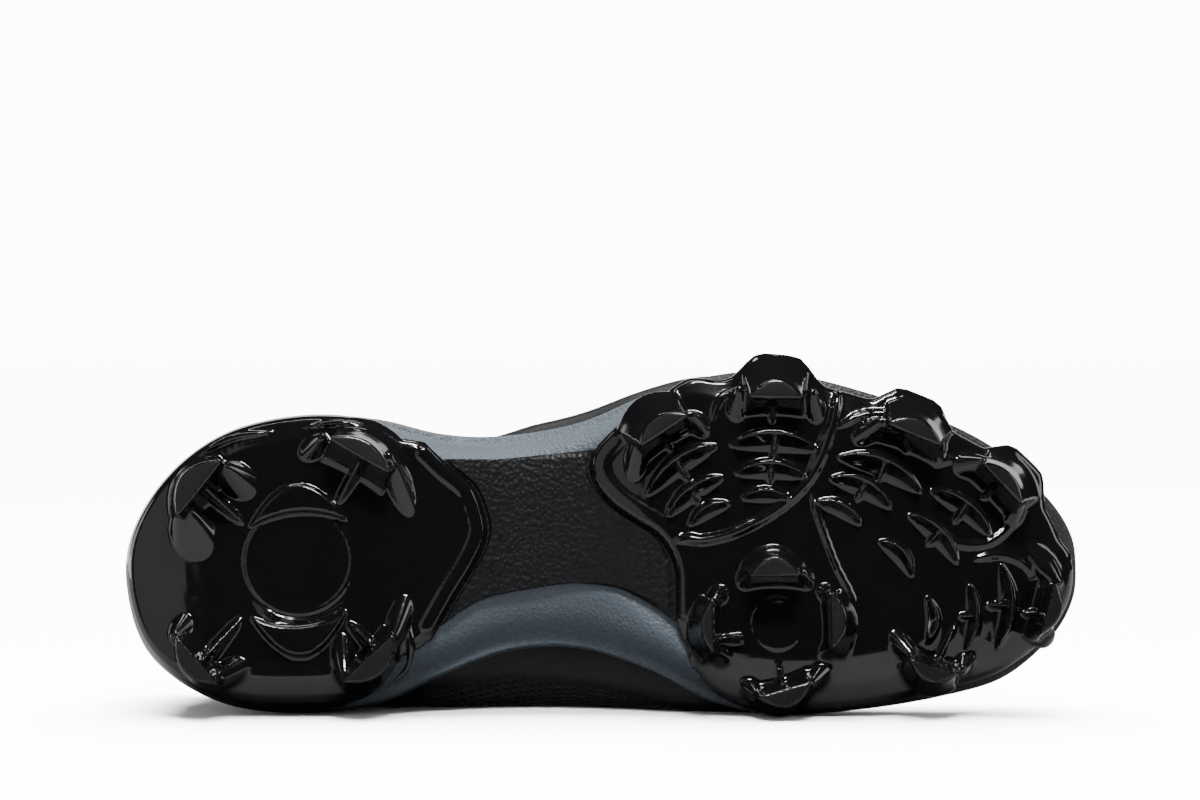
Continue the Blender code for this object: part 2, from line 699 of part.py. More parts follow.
def build_overlay(name, first, final, span, rows):
    """Raised strip on the upper, from one column to another."""
    steps = round((final - first) * fineness)
    below = []
    above = []
    for i in range(rows + 1):
        low_row = []
        high_row = []
        for j in range(steps + 1):
            place = first + j / fineness
            ends = min(j, steps - j)
            start, stop = span(place, ends)
            t = start + (stop - start) * i / rows
            low_row.append(on_upper(place, t, seat))
            high_row.append(on_upper(place, t, seat + overlay))
        below.append(low_row)
        above.append(high_row)
    return grid_solid(above, below, name)


def build_insole():
    places = [i / fineness for i in range(columns)]
    margin = upper_inset + upper_wall + 0.0024
    loops = []
    for inset, rise in ((margin, 0.0), (margin, insole_thickness * 0.8), (margin + 0.0012, insole_thickness)):
        loop = []
        for place in places:
            plan = rim(place, inset)[0]
            both = (around(top_knots, place) + around(top_knots, -place)) * 0.5
            base = max(around(top_knots, place), around(top_knots, -place), both) * instep
            loop.append(raised(plan, base + gap + rise))
        loops.append(loop)
    return loft(loops, "across", "insole")


def build_tongue():
    over = []
    under = []
    for x, middle, half, drop, thick in tongue_rows:
        top = []
        bottom = []
        for i in range(9):
            v = i / 4 - 1.0
            plan = Vector((x * length, v * half * ball_width))
            height = middle * instep - drop * ball_width * v * v
            thin = thick * (1.0 - 0.45 * v * v)
            top.append(raised(plan, height))
            bottom.append(raised(plan, height - thin) + Vector((-thin * 0.35, 0.0, 0.0)))
        over.append(top)
        under.append(bottom)
    return grid_solid(over, under, "tongue")


def lace_end(start, finish, lift):
    """Path of a lace from its hole to the edge of the throat."""
    path = []
    for share, t in ((-0.06, eyelet_rise - 0.03), (0.04, eyelet_rise + 0.02), (0.16, 1.0)):
        place = start + (turns - finish - start) * share * 0.5
        up = upper_normal(place, t)
        path.append((upper_point(place, t) + up * lift, up))
    return path


def lace_bar(mesh, start, finish, layer):
    """One flat run of lace from a hole to the hole across the throat."""
    lift = seat + overlay + gap + lace_thickness * 0.5 + 0.0005 + layer * 0.00013
    points = lace_end(start, finish, lift)
    other = lace_end(finish, start, lift)
    left = points[-1]
    right = other[-1]
    point = left[0].lerp(right[0], 0.5)
    point.z += 0.0030
    points.append((point, left[1].lerp(right[1], 0.5).normalized()))
    points.extend(reversed(other))
    rings = []
    for i, (point, up) in enumerate(points):
        ahead = points[min(i + 1, len(points) - 1)][0] - points[max(i - 1, 0)][0]
        side = ahead.cross(up).normalized() * (lace_width * 0.5)
        rise = side.cross(ahead).normalized() * (lace_thickness * 0.5)
        rings.append([mesh.verts.new(point + side * a + rise * b)
                      for a, b in ((1, -1), (-1, -1), (-1, 1), (1, 1))])
    for low, high in zip(rings, rings[1:]):
        for i in range(4):
            j = (i + 1) % 4
            mesh.faces.new((low[i], low[j], high[j], high[i]))
    mesh.faces.new(rings[0])
    mesh.faces.new(rings[-1])


def build_laces():
    """Crossed lacing: four sets of bars joined into one form."""
    sets = [bmesh.new() for _ in range(4)]
    for i, (high, low) in enumerate(zip(eyelet_rows, eyelet_rows[1:])):
        lace_bar(sets[i % 2], high, turns - low, i % 2)
        lace_bar(sets[2 + i % 2], turns - high, low, 2 + i % 2)
    final = len(eyelet_rows) - 1
    lace_bar(sets[final % 2], eyelet_rows[-1], turns - eyelet_rows[-1], final % 2)
    forms = [finished(mesh, "laces" if i == 0 else "laces_set_%d" % i) for i, mesh in enumerate(sets)]
    for other in forms[1:]:
        fuse(forms[0], other)
    return forms[0]


def paint(item):
    colour, rough = materials[item.name]
    paint_here = bpy.data.materials.new(item.name)
    paint_here.use_nodes = True
    shader = paint_here.node_tree.nodes["Principled BSDF"]
    shader.inputs["Base Color"].default_value = (*colour, 1.0)
    shader.inputs["Roughness"].default_value = rough
    item.data.materials.append(paint_here)


def resting_turn(items):
    """Turn that lays the shoe on its inner side, from the hull's facets."""
    hull = bmesh.new()
    for item in items:
        for vertex in item.data.vertices:
            hull.verts.new(vertex.co)
    bmesh.ops.convex_hull(hull, input=hull.verts[:])
    middle = Vector((0.0, 0.0, 0.0))
    whole = 0.0
    for item in items:
        share = item.dimensions.length
        corners = [Vector(corner) for corner in item.bound_box]
        middle += sum(corners, Vector()) / 8.0 * share
        whole += share
    middle /= whole
    best = None
    for face in hull.faces:
        if face.normal.y < 0.7:
            continue
        drop = middle + face.normal * (face.verts[0].co - middle).dot(face.normal)
        inside = True
        for edge in face.loops:
            a = edge.vert.co
            b = edge.link_loop_next.vert.co
            if (b - a).cross(drop - a).dot(face.normal) < 0:
                inside = False
        if inside and (best is None or face.normal.y > best.y):
            best = face.normal.copy()
    hull.free()
    down = best
    along_shoe = Vector((1.0, 0.0, 0.0))
    along_shoe = (along_shoe - down * along_shoe.dot(down)).normalized()
    up = -down
    back = up.cross(along_shoe)
    return Matrix((along_shoe, back, up)).to_4x4()


def main():
    for item in list(bpy.data.objects):
        bpy.data.objects.remove(item)
    midsole = build_midsole()
    heel = build_pod("outsole_heel", -5.5, 5.5, heel_pod_edge, heel_pod_centre)
    fore = build_pod("outsole_forefoot", 9.0, turns - 9.5, fore_pod_edge, fore_pod_centre)
    for pod, is_heel in ((heel, True), (fore, False)):
        for form in build_studs(pod.name, is_heel):
            fuse(pod, form)
    shank = build_shank()
    upper = build_upper()
    insole = build_insole()
    tongue = build_tongue()
    eyestay_row, low, high = eyestay_span
    eyestay = build_overlay("eyestay", eyestay_row + 0.25, turns - eyestay_row - 0.25,
                            lambda place, ends: (low + (0.05 if ends == 0 else 0.0), high), 3)
    collar_row, base, lip = collar_span
    collar = build_overlay("collar", 0.05 - collar_row, collar_row - 0.05,
                           lambda place, ends: (base + (0.05 if ends == 0 else 0.0), lip), 2)
    laces = build_laces()
    for item in (heel, fore, shank, midsole, insole, upper, eyestay, collar, tongue, laces):
        paint(item)
    shoe = bpy.data.objects.new("shoe", None)
    bpy.context.scene.collection.objects.link(shoe)
    bpy.context.view_layer.update()
    items = [item for item in bpy.data.objects if item.type == "MESH"]
    turn = resting_turn(items)
    points = [turn @ vertex.co for item in items for vertex in item.data.vertices]
    low_corner = [min(p[i] for p in points) for i in range(3)]
    high_corner = [max(p[i] for p in points) for i in range(3)]
    shift = Vector((-(low_corner[0] + high_corner[0]) / 2, -(low_corner[1] + high_corner[1]) / 2,
                    -low_corner[2]))
    shoe.matrix_world = Matrix.Translation(shift) @ turn
    for item in items:
        item.parent = shoe


if __name__ == "__main__":
    main()
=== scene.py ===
"""Finished surfaces of a baseball cleat for the right foot.

Every form is worked out on the upright shoe, heel at zero and toe along X,
outer side away from Y and height along Z, then laid on its inner side.
"""
import math
from functools import lru_cache

import bmesh
import bpy
from mathutils import Matrix, Vector, kdtree


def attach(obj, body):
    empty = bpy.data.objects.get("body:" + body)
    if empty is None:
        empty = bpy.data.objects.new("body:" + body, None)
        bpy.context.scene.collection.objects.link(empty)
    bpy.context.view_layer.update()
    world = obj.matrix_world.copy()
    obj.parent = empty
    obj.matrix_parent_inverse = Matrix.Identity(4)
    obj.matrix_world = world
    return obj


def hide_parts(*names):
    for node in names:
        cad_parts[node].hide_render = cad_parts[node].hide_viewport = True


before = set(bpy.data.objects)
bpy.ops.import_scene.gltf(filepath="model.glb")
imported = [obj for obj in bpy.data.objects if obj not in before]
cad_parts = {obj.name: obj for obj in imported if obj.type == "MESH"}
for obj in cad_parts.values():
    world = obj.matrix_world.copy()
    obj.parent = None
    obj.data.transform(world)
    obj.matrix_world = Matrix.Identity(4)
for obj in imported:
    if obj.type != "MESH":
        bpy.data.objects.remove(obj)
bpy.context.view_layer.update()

bl_info = {
    "name": "Baseball cleat",
    "version": (1, 0, 0),
    "blender": (4, 5, 0),
    "location": "3D View > Sidebar > Cleat",
    "description": "Moulded sole, foam, upper and lacing of a baseball cleat",
    "category": "Object",
}

# Turn and shift that lay the upright shoe on its inner side
lay = Matrix((
    (1.0, 0.00277, 0.00054, -0.14866),
    (0.0, -0.19023, 0.98174, -0.05378),
    (0.00282, -0.98174, -0.19023, 0.05018),
    (0.0, 0.0, 0.0, 1.0),
))

# Main sizes of the shoe, in metres
length = 0.297
ball_width = 0.1095
instep = 0.098
plate = 0.0030
cup_height = 0.0105
cup_wall = 0.0025
upper_wall = 0.0022
upper_inset = 0.0032
gap = 0.0003
seat = 0.0005

# Outline of the sole: x is a share of length; lateral, medial and both bevels
# of ball width; tread and both tops of instep
outline = (
    (0.000, 0.000, 0.000, 0.158, 0.378, 0.378, 0.060, 0.060),
    (0.014, 0.167, 0.186, 0.144, 0.376, 0.376, 0.060, 0.060),
    (0.048, 0.296, 0.304, 0.122, 0.367, 0.367, 0.060, 0.060),
    (0.108, 0.404, 0.388, 0.117, 0.357, 0.362, 0.060, 0.060),
    (0.185, 0.449, 0.414, 0.117, 0.352, 0.367, 0.060, 0.060),
    (0.263, 0.438, 0.391, 0.119, 0.347, 0.383, 0.064, 0.068),
    (0.330, 0.398, 0.312, 0.143, 0.342, 0.403, 0.080, 0.110),
    (0.404, 0.388, 0.235, 0.184, 0.337, 0.408, 0.085, 0.155),
    (0.478, 0.420, 0.230, 0.179, 0.321, 0.388, 0.080, 0.155),
    (0.549, 0.497, 0.296, 0.138, 0.301, 0.347, 0.066, 0.090),
    (0.620, 0.550, 0.394, 0.119, 0.286, 0.311, 0.060, 0.060),
    (0.690, 0.558, 0.427, 0.117, 0.281, 0.291, 0.060, 0.060),
    (0.771, 0.508, 0.414, 0.126, 0.284, 0.286, 0.060, 0.060),
    (0.848, 0.436, 0.368, 0.151, 0.301, 0.301, 0.060, 0.060),
    (0.919, 0.342, 0.310, 0.190, 0.335, 0.335, 0.060, 0.060),
    (0.971, 0.212, 0.196, 0.231, 0.373, 0.373, 0.060, 0.060),
    (0.995, 0.094, 0.092, 0.251, 0.394, 0.394, 0.060, 0.060),
    (1.000, 0.004, -0.004, 0.255, 0.398, 0.398, 0.060, 0.060),
)

# Upper: two pulls and the end of a curve that climbs from sole to opening
upper_rows = (
    (0, -0.017, 0.000, 0.000, 0.561, 0.020, 0.000, 0.000, 0.796, 0.030, 0.000, 0.000, 0.980),
    (2, 0.037, 0.329, 0.311, 0.541, 0.057, 0.201, 0.192, 0.796, 0.054, 0.146, 0.137, 0.954),
    (3, 0.104, 0.411, 0.366, 0.520, 0.111, 0.301, 0.275, 0.745, 0.101, 0.251, 0.237, 0.888),
    (4, 0.185, 0.438, 0.372, 0.510, 0.189, 0.356, 0.318, 0.704, 0.168, 0.301, 0.283, 0.821),
    (5, 0.266, 0.429, 0.370, 0.520, 0.263, 0.365, 0.338, 0.724, 0.242, 0.306, 0.288, 0.821),
    (6, 0.333, 0.420, 0.378, 0.541, 0.327, 0.361, 0.372, 0.786, 0.303, 0.269, 0.256, 0.898),
    (7, 0.407, 0.429, 0.390, 0.531, 0.387, 0.347, 0.395, 0.857, 0.357, 0.196, 0.178, 0.990),
    (8, 0.481, 0.476, 0.380, 0.490, 0.451, 0.356, 0.385, 0.806, 0.424, 0.160, 0.142, 0.898),
    (9, 0.549, 0.516, 0.385, 0.439, 0.508, 0.374, 0.356, 0.745, 0.488, 0.142, 0.123, 0.811),
    (10, 0.623, 0.548, 0.402, 0.388, 0.579, 0.393, 0.347, 0.673, 0.549, 0.123, 0.105, 0.724),
    (11, 0.694, 0.566, 0.418, 0.367, 0.643, 0.393, 0.338, 0.612, 0.599, 0.105, 0.087, 0.658),
    (12, 0.778, 0.530, 0.402, 0.357, 0.714, 0.338, 0.292, 0.571, 0.640, 0.078, 0.068, 0.612),
    (14, 0.926, 0.365, 0.301, 0.429, 0.795, 0.155, 0.137, 0.582, 0.667, 0.037, 0.037, 0.584),
    (17, 1.000, 0.018, -0.018, 0.520, 0.818, 0.023, -0.023, 0.622, 0.673, 0.000, 0.000, 0.580),
)

# Edge of each rubber pod across the waist, x of length and side of ball width
heel_pod_edge = (
    (0.316, 0.347), (0.340, 0.283), (0.367, 0.219), (0.380, 0.128), (0.380, 0.064),
    (0.367, -0.018), (0.347, -0.110), (0.324, -0.225),
)
fore_pod_edge = (
    (0.577, -0.174), (0.577, -0.091), (0.576, -0.027),
    (0.569, 0.027), (0.556, 0.073), (0.535, 0.110), (0.512, 0.155), (0.495, 0.210),
    (0.488, 0.256), (0.488, 0.301), (0.498, 0.347), (0.515, 0.393),
)
heel_pod_centre = (0.185, 0.030)
fore_pod_centre = (0.740, 0.060)
heel_pod_span = (-5.5, 5.5)
fore_pod_span = (9.0, 24.5)

# Free edges of the waist panel, from the heel pod to the forefoot pod
shank_lateral = ((0.352, 0.297), (0.395, 0.303), (0.438, 0.314), (0.480, 0.326))
shank_medial = (
    (0.346, -0.145), (0.387, -0.075), (0.438, -0.058), (0.481, -0.058),
    (0.515, -0.072), (0.545, -0.112), (0.568, -0.160),
)

# Swellings of the forefoot pod: x, side, how far out, half of the flat, half spread
outriggers = (
    (0.574, 1, 0.036, 0.050, 0.130),
    (0.687, 1, 0.069, 0.054, 0.142),
    (0.833, 1, 0.064, 0.054, 0.122),
    (0.945, 1, 0.060, 0.040, 0.095),
    (0.975, -1, 0.004, 0.050, 0.100),
)
# In metres: how far the outer edge of the forefoot pod is pulled in between
# the swellings
edge_pull = 0.0028
# How far the outer side of the heel is pulled in, the foam with it in part
heel_pull = 0.0014
# How far the inner side of the heel stands out past the outline
heel_push = 0.0009
# How far the heel pod's wall leans outward from its face to its lip
heel_lean = 0.0017
# How far the foam's wall stands out round the toe
toe_flare = 0.0016
# Slanted border of the pods: slope, then width on the outer and inner side
border = (0.22, 0.0070, 0.0125, 0.0165)

# Tall studs: x, side, heading in degrees, then chord, bow, outward spread and
# inward spread in shares of ball width
studs = (
    (0.083, 0.194, 142, 0.200, 0.059, 0.034, 0.046),
    (0.249, 0.286, 60, 0.196, 0.043, 0.050, 0.060),
    (0.083, -0.296, -139, 0.175, 0.046, 0.006, 0.056),
    (0.260, -0.290, -46, 0.196, 0.056, 0.008, 0.056),
    (0.566, 0.356, 123, 0.156, 0.045, 0.090, 0.040),
    (0.683, 0.449, 89, 0.147, 0.048, 0.094, 0.042),
    (0.827, 0.346, 68, 0.157, 0.045, 0.078, 0.046),
    (0.920, 0.211, 44, 0.152, 0.034, 0.070, 0.050),
    (0.967, -0.143, -16, 0.144, 0.037, 0.004, 0.055),
    (0.843, -0.315, -107, 0.135, 0.045, 0.025, 0.055),
    (0.689, -0.383, -74, 0.150, 0.048, 0.010, 0.055),
    (0.680, -0.059, 91, 0.141, 0.052, 0.046, 0.027),
    (0.739, -0.187, 1, 0.153, 0.039, 0.037, 0.027),
    (0.616, -0.199, 180, 0.151, 0.034, 0.037, 0.027),
)

# Low blades behind each outer stud: x, side, heading, chord, bow, height share
blades = (
    (0.585, 0.257, 125, 0.232, 0.040, 0.484),
    (0.599, 0.180, 125, 0.186, 0.034, 0.403),
    (0.614, 0.130, 118, 0.122, 0.026, 0.323),
    (0.682, 0.320, 87, 0.236, 0.047, 0.484),
    (0.678, 0.241, 88, 0.187, 0.039, 0.403),
    (0.673, 0.173, 89, 0.127, 0.027, 0.323),
    (0.793, 0.244, 68, 0.244, 0.050, 0.484),
    (0.772, 0.190, 65, 0.184, 0.044, 0.403),
    (0.749, 0.132, 64, 0.135, 0.031, 0.323),
    (0.878, 0.138, 54, 0.203, 0.038, 0.484),
    (0.848, 0.061, 46, 0.186, 0.041, 0.403),
    (0.808, 0.003, 44, 0.130, 0.037, 0.323),
    (0.917, -0.127, -4, 0.235, 0.046, 0.484),
    (0.883, -0.159, -4, 0.179, 0.034, 0.403),
    (0.840, -0.170, 0, 0.130, 0.033, 0.323),
)

# Ramps at the ends of the tall studs and webs behind them: root and far end on
# the tread, width or half width, all in millimetres, and height share
arms = (
    (32.0, 28.2, 40.3, 20.9, 8.7, 0.62), (19.1, 14.8, 25.0, 0.9, 12.4, 0.62),
    (61.7, 37.3, 55.7, 32.6, 5.0, 0.60), (83.2, 31.0, 89.4, 14.4, 5.9, 0.62),
    (17.3, -23.6, 20.7, -17.2, 5.0, 0.60), (29.9, -37.9, 38.8, -31.5, 6.2, 0.60),
    (69.6, -36.2, 68.1, -22.9, 5.0, 0.60), (84.5, -25.0, 88.3, -11.0, 5.3, 0.62),
    (160.5, 37.7, 158.6, 25.5, 5.3, 0.55), (177.0, 44.4, 181.7, 39.6, 4.3, 0.50),
    (191.7, 52.1, 190.8, 43.9, 5.0, 0.50), (214.8, 51.1, 216.1, 43.3, 4.7, 0.50),
    (235.7, 42.4, 227.6, 37.3, 5.0, 0.52), (254.2, 37.0, 252.6, 30.4, 3.7, 0.48),
    (267.7, 30.8, 258.7, 29.9, 6.5, 0.50), (279.6, 17.9, 275.8, 11.4, 4.3, 0.48),
    (291.0, -6.0, 282.4, 5.6, 6.8, 0.50), (288.3, -22.5, 284.0, -24.5, 4.3, 0.45),
    (244.5, -30.5, 238.5, -22.6, 4.3, 0.50), (260.4, -34.0, 263.5, -29.4, 3.7, 0.45),
    (196.7, -43.0, 192.5, -38.1, 4.3, 0.50), (213.4, -39.0, 218.5, -33.5, 4.3, 0.50),
    (194.0, -4.8, 192.5, -8.9, 3.7, 0.32), (211.0, -4.9, 212.9, -8.7, 4.0, 0.32),
    (219.0, -11.1, 216.3, -9.0, 3.7, 0.32), (219.7, -27.9, 217.0, -30.1, 3.7, 0.32),
    (184.0, -12.0, 187.2, -9.5, 3.7, 0.32), (183.9, -29.0, 187.3, -32.2, 4.3, 0.32),
)
webs = (
    (24.0, 23.5, 37.6, 11.5, 2.4, 0.82), (74.8, 31.5, 66.5, 17.7, 2.4, 0.82),
    (25.2, -32.8, 37.4, -17.9, 2.8, 0.80), (79.3, -28.6, 70.2, -19.2, 2.6, 0.72),
    (167.9, 38.8, 170.8, 34.4, 1.5, 0.70), (201.8, 49.8, 202.3, 42.6, 1.4, 0.75),
    (241.6, 38.0, 244.5, 33.7, 1.4, 0.70), (273.5, 24.3, 267.4, 19.7, 1.5, 0.70),
    (287.3, -16.1, 279.7, -15.9, 2.0, 0.75), (251.2, -34.3, 259.0, -19.5, 0.9, 0.75),
    (204.5, -42.5, 203.1, -32.3, 0.9, 0.75), (191.8, -24.6, 182.7, -25.1, 1.4, 0.50),
)

# Soft raised lines on the heel and on the forefoot: plan points in
# millimetres, then half width and height of the line
heel_lines = (
    (((41, 13), (48, 17.6), (56, 18.9), (64, 17.2), (70, 13)), 0.5, 0.5),
    (((40, -12), (48, -17.4), (56, -18.9), (64, -17.2), (70, -12.5)), 0.45, 0.55),
    (((41, -14), (48, -19.2), (56, -20.8), (64, -19.2), (70.5, -14.5)), 0.45, 0.55),
    (((56, 42), (68, 43.5), (79, 39), (87, 30), (90, 20)), 0.8, 0.8),
    (((62, 44), (73, 43), (84, 36), (91, 26)), 0.6, 0.6),
    (((24, 34), (34, 39), (46, 40.5)), 0.8, 0.8),
    (((17, 12), (16, 20), (20, 29)), 0.7, 0.7),
    (((84, -12), (89, -22), (89, -32), (83, -39)), 0.8, 0.8),
)
# Low crescents that hug the heel round
heel_ridges = (
    (0.184, 0.106, 94, 0.266, 0.106, 0.0024),
    (0.186, -0.155, -86, 0.262, 0.114, 0.0022),
)
fore_lines = (
    (((171, 7), (180, 6.2), (190, 8.5), (201, 14), (210, 21), (216, 29), (220, 39), (222, 47), (223, 54)),
     1.1, 1.1),
    (((170, 5), (175, 6.5), (181, 6.4)), 1.3, 1.0),
    (((214, 22), (216, 14), (219, 5), (222, -3), (226, -11), (227, -16)), 0.8, 0.9),
    (((221, 45), (217, 36), (214, 28), (213, 22)), 0.7, 0.7),
    (((256, 7), (262, 5), (270, 6), (277, 12), (281, 20)), 1.0, 0.8),
    (((263, 0), (272, 2), (280, 0), (285, -6)), 0.9, 0.8),
    (((152, 33), (156, 43), (164, 50)), 1.0, 0.8),
    (((183, 41), (186, 50), (193, 54)), 0.9, 0.7),
    (((222, 41), (229, 45), (238, 46), (245, 41), (249, 35)), 0.9, 0.8),
    (((252, 29), (258, 32), (266, 32), (272, 26)), 0.9, 0.7),
)

# Tongue: x of length, middle height of instep, half width and side drop of
# ball width, thickness in metres
tongue_rows = (
    (0.714, 0.549, 0.120, 0.020, 0.0022),
    (0.667, 0.551, 0.150, 0.024, 0.0024),
    (0.623, 0.602, 0.175, 0.042, 0.0028),
    (0.562, 0.690, 0.195, 0.052, 0.0032),
    (0.488, 0.797, 0.215, 0.066, 0.0036),
    (0.411, 0.908, 0.212, 0.080, 0.0040),
    (0.355, 0.978, 0.186, 0.080, 0.0044),
    (0.315, 1.045, 0.182, 0.070, 0.0048),
    (0.285, 1.130, 0.182, 0.065, 0.0048),
    (0.270, 1.200, 0.165, 0.050, 0.0042),
)
eyelet_rows = (7.35, 8.2, 9.05, 9.9, 10.75, 11.6)
eyelet_rise = 0.88
facing_span = (7.0, 0.80, 0.97)
collar_reach = 6.4

# Places where the foam turns from black to blue grey behind the waist, and back
# to black in front of it on the outer and on the inner side
foam_colour_places = (5.45, 8.62, 9.55)
# That border leans by one place for this height, and no further than the second
foam_colour_lean = (0.0125, 1.35)
# How far the upper swells beside the waist, outer and inner side
waist_swell = (0.0048, 0.0075)

last = len(outline) - 1
turns = 2 * last


# Shoe shape

def closed_knots(rows, keys, lateral, medial, flip=False):
    """Knots and values right round the shoe, outer side first."""
    sign = -1.0 if flip else 1.0
    out = [(float(k), row[lateral]) for k, row in zip(keys, rows)]
    back = [(float(turns - k), sign * row[medial]) for k, row in zip(keys, rows)]
    out.extend(reversed(back[1:-1]))
    return out


def smooth_step(t, start, end, near, far):
    """Cubic from start to end that leaves and arrives with given slopes."""
    t2 = t * t
    t3 = t2 * t
    return ((2 * t3 - 3 * t2 + 1) * start + (t3 - 2 * t2 + t) * near
            + (3 * t2 - 2 * t3) * end + (t3 - t2) * far)


def around(knots, place):
    """Smooth value at a place right round the shoe."""
    place = place % turns
    count = len(knots)
    index = count - 1
    for i in range(count):
        if knots[i][0] <= place:
            index = i
    ks = []
    vs = []
    for step in (-1, 0, 1, 2):
        lap, which = divmod(index + step, count)
        ks.append(knots[which][0] + lap * turns)
        vs.append(knots[which][1])
    span = ks[2] - ks[1]
    t = (place - ks[1]) / span
    near = (vs[2] - vs[0]) / (ks[2] - ks[0]) * span
    far = (vs[3] - vs[1]) / (ks[3] - ks[1]) * span
    return smooth_step(t, vs[1], vs[2], near, far)


def along(rows, column, key):
    """Smooth value between table rows whose first column is the key."""
    keys = [row[0] for row in rows]
    if keys[0] > keys[-1]:
        rows = rows[::-1]
        keys = keys[::-1]
    key = min(max(key, keys[0]), keys[-1])
    i = 0
    while i < len(keys) - 2 and keys[i + 1] < key:
        i += 1
    a = max(i - 1, 0)
    d = min(i + 2, len(keys) - 1)
    span = keys[i + 1] - keys[i]
    t = (key - keys[i]) / span
    near = (rows[i + 1][column] - rows[a][column]) / (keys[i + 1] - keys[a]) * span
    far = (rows[d][column] - rows[i][column]) / (keys[d] - keys[i]) * span
    return smooth_step(t, rows[i][column], rows[i + 1][column], near, far)


row_keys = list(range(last + 1))
plan_x = closed_knots(outline, row_keys, 0, 0)
plan_side = closed_knots(outline, row_keys, 1, 2, flip=True)
top_knots = closed_knots(outline, row_keys, 4, 5)
bevel_knots = closed_knots(outline, row_keys, 6, 7)
upper_keys = [row[0] for row in upper_rows]
pull_knots = [
    (closed_knots(upper_rows, upper_keys, c, c),
     closed_knots(upper_rows, upper_keys, c + 1, c + 2, flip=True),
     closed_knots(upper_rows, upper_keys, c + 3, c + 3))
    for c in (1, 5, 9)
]


tread_floor = 0.1172 * instep


def eased(value):
    value = min(max(value, 0.0), 1.0)
    return value * value * (3.0 - 2.0 * value)


@lru_cache(maxsize=None)
def tread(x):
    """Height of the sole's underside, with a flat bevel behind the heel."""
    level = along(outline, 3, x / length) * instep
    if x < 0.024:
        flat = tread_floor
        bevel = flat + (0.0172 - x) * 0.24
        soft = 0.0007
        level = flat + soft * math.log1p(math.exp(min((bevel - flat) / soft, 60.0)))
        level += (along(outline, 3, x / length) * instep - flat) * eased((x - 0.018) / 0.006)
    return level


@lru_cache(maxsize=None)
def rim_here(place):
    x = around(plan_x, place) * length
    side = around(plan_side, place) * ball_width
    ahead_x = around(plan_x, place + 0.05) - around(plan_x, place - 0.05)
    ahead_side = around(plan_side, place + 0.05) - around(plan_side, place - 0.05)
    run = Vector((ahead_x * length, ahead_side * ball_width)).normalized()
    return Vector((x, side)), Vector((run.y, -run.x))


def rim(place, inset=0.0):
    """Plan point on the outline, moved inward, with its inward direction."""
    plan, inward = rim_here(round(place % turns, 5))
    return plan + inward * inset, inward


def raised(plan, height):
    """Point of the upright shoe from a plan point and a height."""
    return Vector((plan.x, -plan.y, height))


def pulled(place):
    """How far the pods' edge is pulled in, or below zero pushed out, at a place."""
    place = place % turns
    heel = place if place < last else place - turns
    behind = heel_pull * eased((heel - 0.4) / 1.4) * eased((7.6 - heel) / 1.6)
    behind -= heel_push * eased((heel + 4.2) / 1.2) * eased((1.2 - heel) / 1.4)
    if place > last:
        return behind
    return behind + edge_pull * eased((place - 8.9) / 1.2) * eased((16.8 - place) / 0.8)


def swelling(plan):
    """How far the swellings push the pod's edge out at a plan point."""
    out = 0.0
    for x, side, reach, flat, spread in outriggers:
        if (plan.y > 0) == (side > 0):
            far = abs(plan.x - x * length) / ball_width
            share = min(max((spread - far) / (spread - flat), 0.0), 1.0)
            out += reach * ball_width * (0.6 * share + 0.4 * eased(share))
    return out


edge_tree = kdtree.KDTree(turns * 8)
for step in range(turns * 8):
    here = step / 8
    spot, inward_here = rim_here(round(here, 5))
    spot = spot - inward_here * (swelling(spot) - pulled(here))
    edge_tree.insert((spot.x, spot.y, 0.0), step)
edge_tree.balance()


def tread_at(plan):
    return tread(plan.x)


@lru_cache(maxsize=None)
def border_drop(x, side):
    """How far the slanted border of a pod falls away at a plan point."""
    slope, outer, heel_inner, fore_inner = border
    inner = fore_inner if x > 0.12 else heel_inner
    wide = outer + (inner - outer) * eased(0.5 - side / 0.030)
    wide *= eased((x - 0.016) / 0.024)
    if x < 0.12:
        wide *= 1.0 - eased((x - 0.088) / 0.018)
    else:
        wide *= eased((x - 0.150) / 0.022)
    far = edge_tree.find((x, side, 0.0))[2]
    return slope * 0.0013 * math.log1p(math.exp(min((wide - far) / 0.0013, 60.0)))


def ground(plan):
    """Height of the pod's face at a plan point."""
    return tread(plan.x) + border_drop(round(plan.x, 5), round(plan.y, 5))


def backing(plan):
    """Height of the pod's hidden side at a plan point."""
    return max(tread(plan.x) + plate - seat, ground(plan) + 0.0016)


def foam_section(place):
    """Foam side of one column, as inset and height pairs from below."""
    pull = pulled(place)
    bevel = around(bevel_knots, place) * ball_width + pull
    top = around(top_knots, place) * instep
    wall = cup_wall + gap + pull
    foot = rim(place, bevel)[0]
    under = max(tread(foot.x) + plate, backing(foot) + seat)
    cup = tread(rim(place, wall)[0].x) + cup_height + plate * 0.5
    cup = min(cup, top - 0.0060)
    knee = under + (cup - under) * 0.35
    place = place % turns
    lap = min(place, turns - place)
    follow = pull * 0.7 if lap < 8 else 0.0
    follow -= toe_flare * eased((lap - (14.6 if place < last else 11.8)) / 1.4)
    return ((bevel, under), (wall + (bevel - wall) * 0.45, knee), (wall, cup),
            (0.0003 + follow, cup + 0.0012), (follow * 0.8, (cup + top) * 0.5),
            (0.0008 + follow * 0.5, top - 0.0012), (0.0020, top),
            (upper_inset + upper_wall + 0.0008, top))


@lru_cache(maxsize=None)
def upper_pulls(place):
    foot = rim(place, upper_inset)[0]
    points = [raised(foot, around(top_knots, place) * instep + gap)]
    for xs, sides, heights in pull_knots:
        plan = Vector((around(xs, place) * length, around(sides, place) * ball_width))
        points.append(raised(plan, around(heights, place) * instep))
    return points


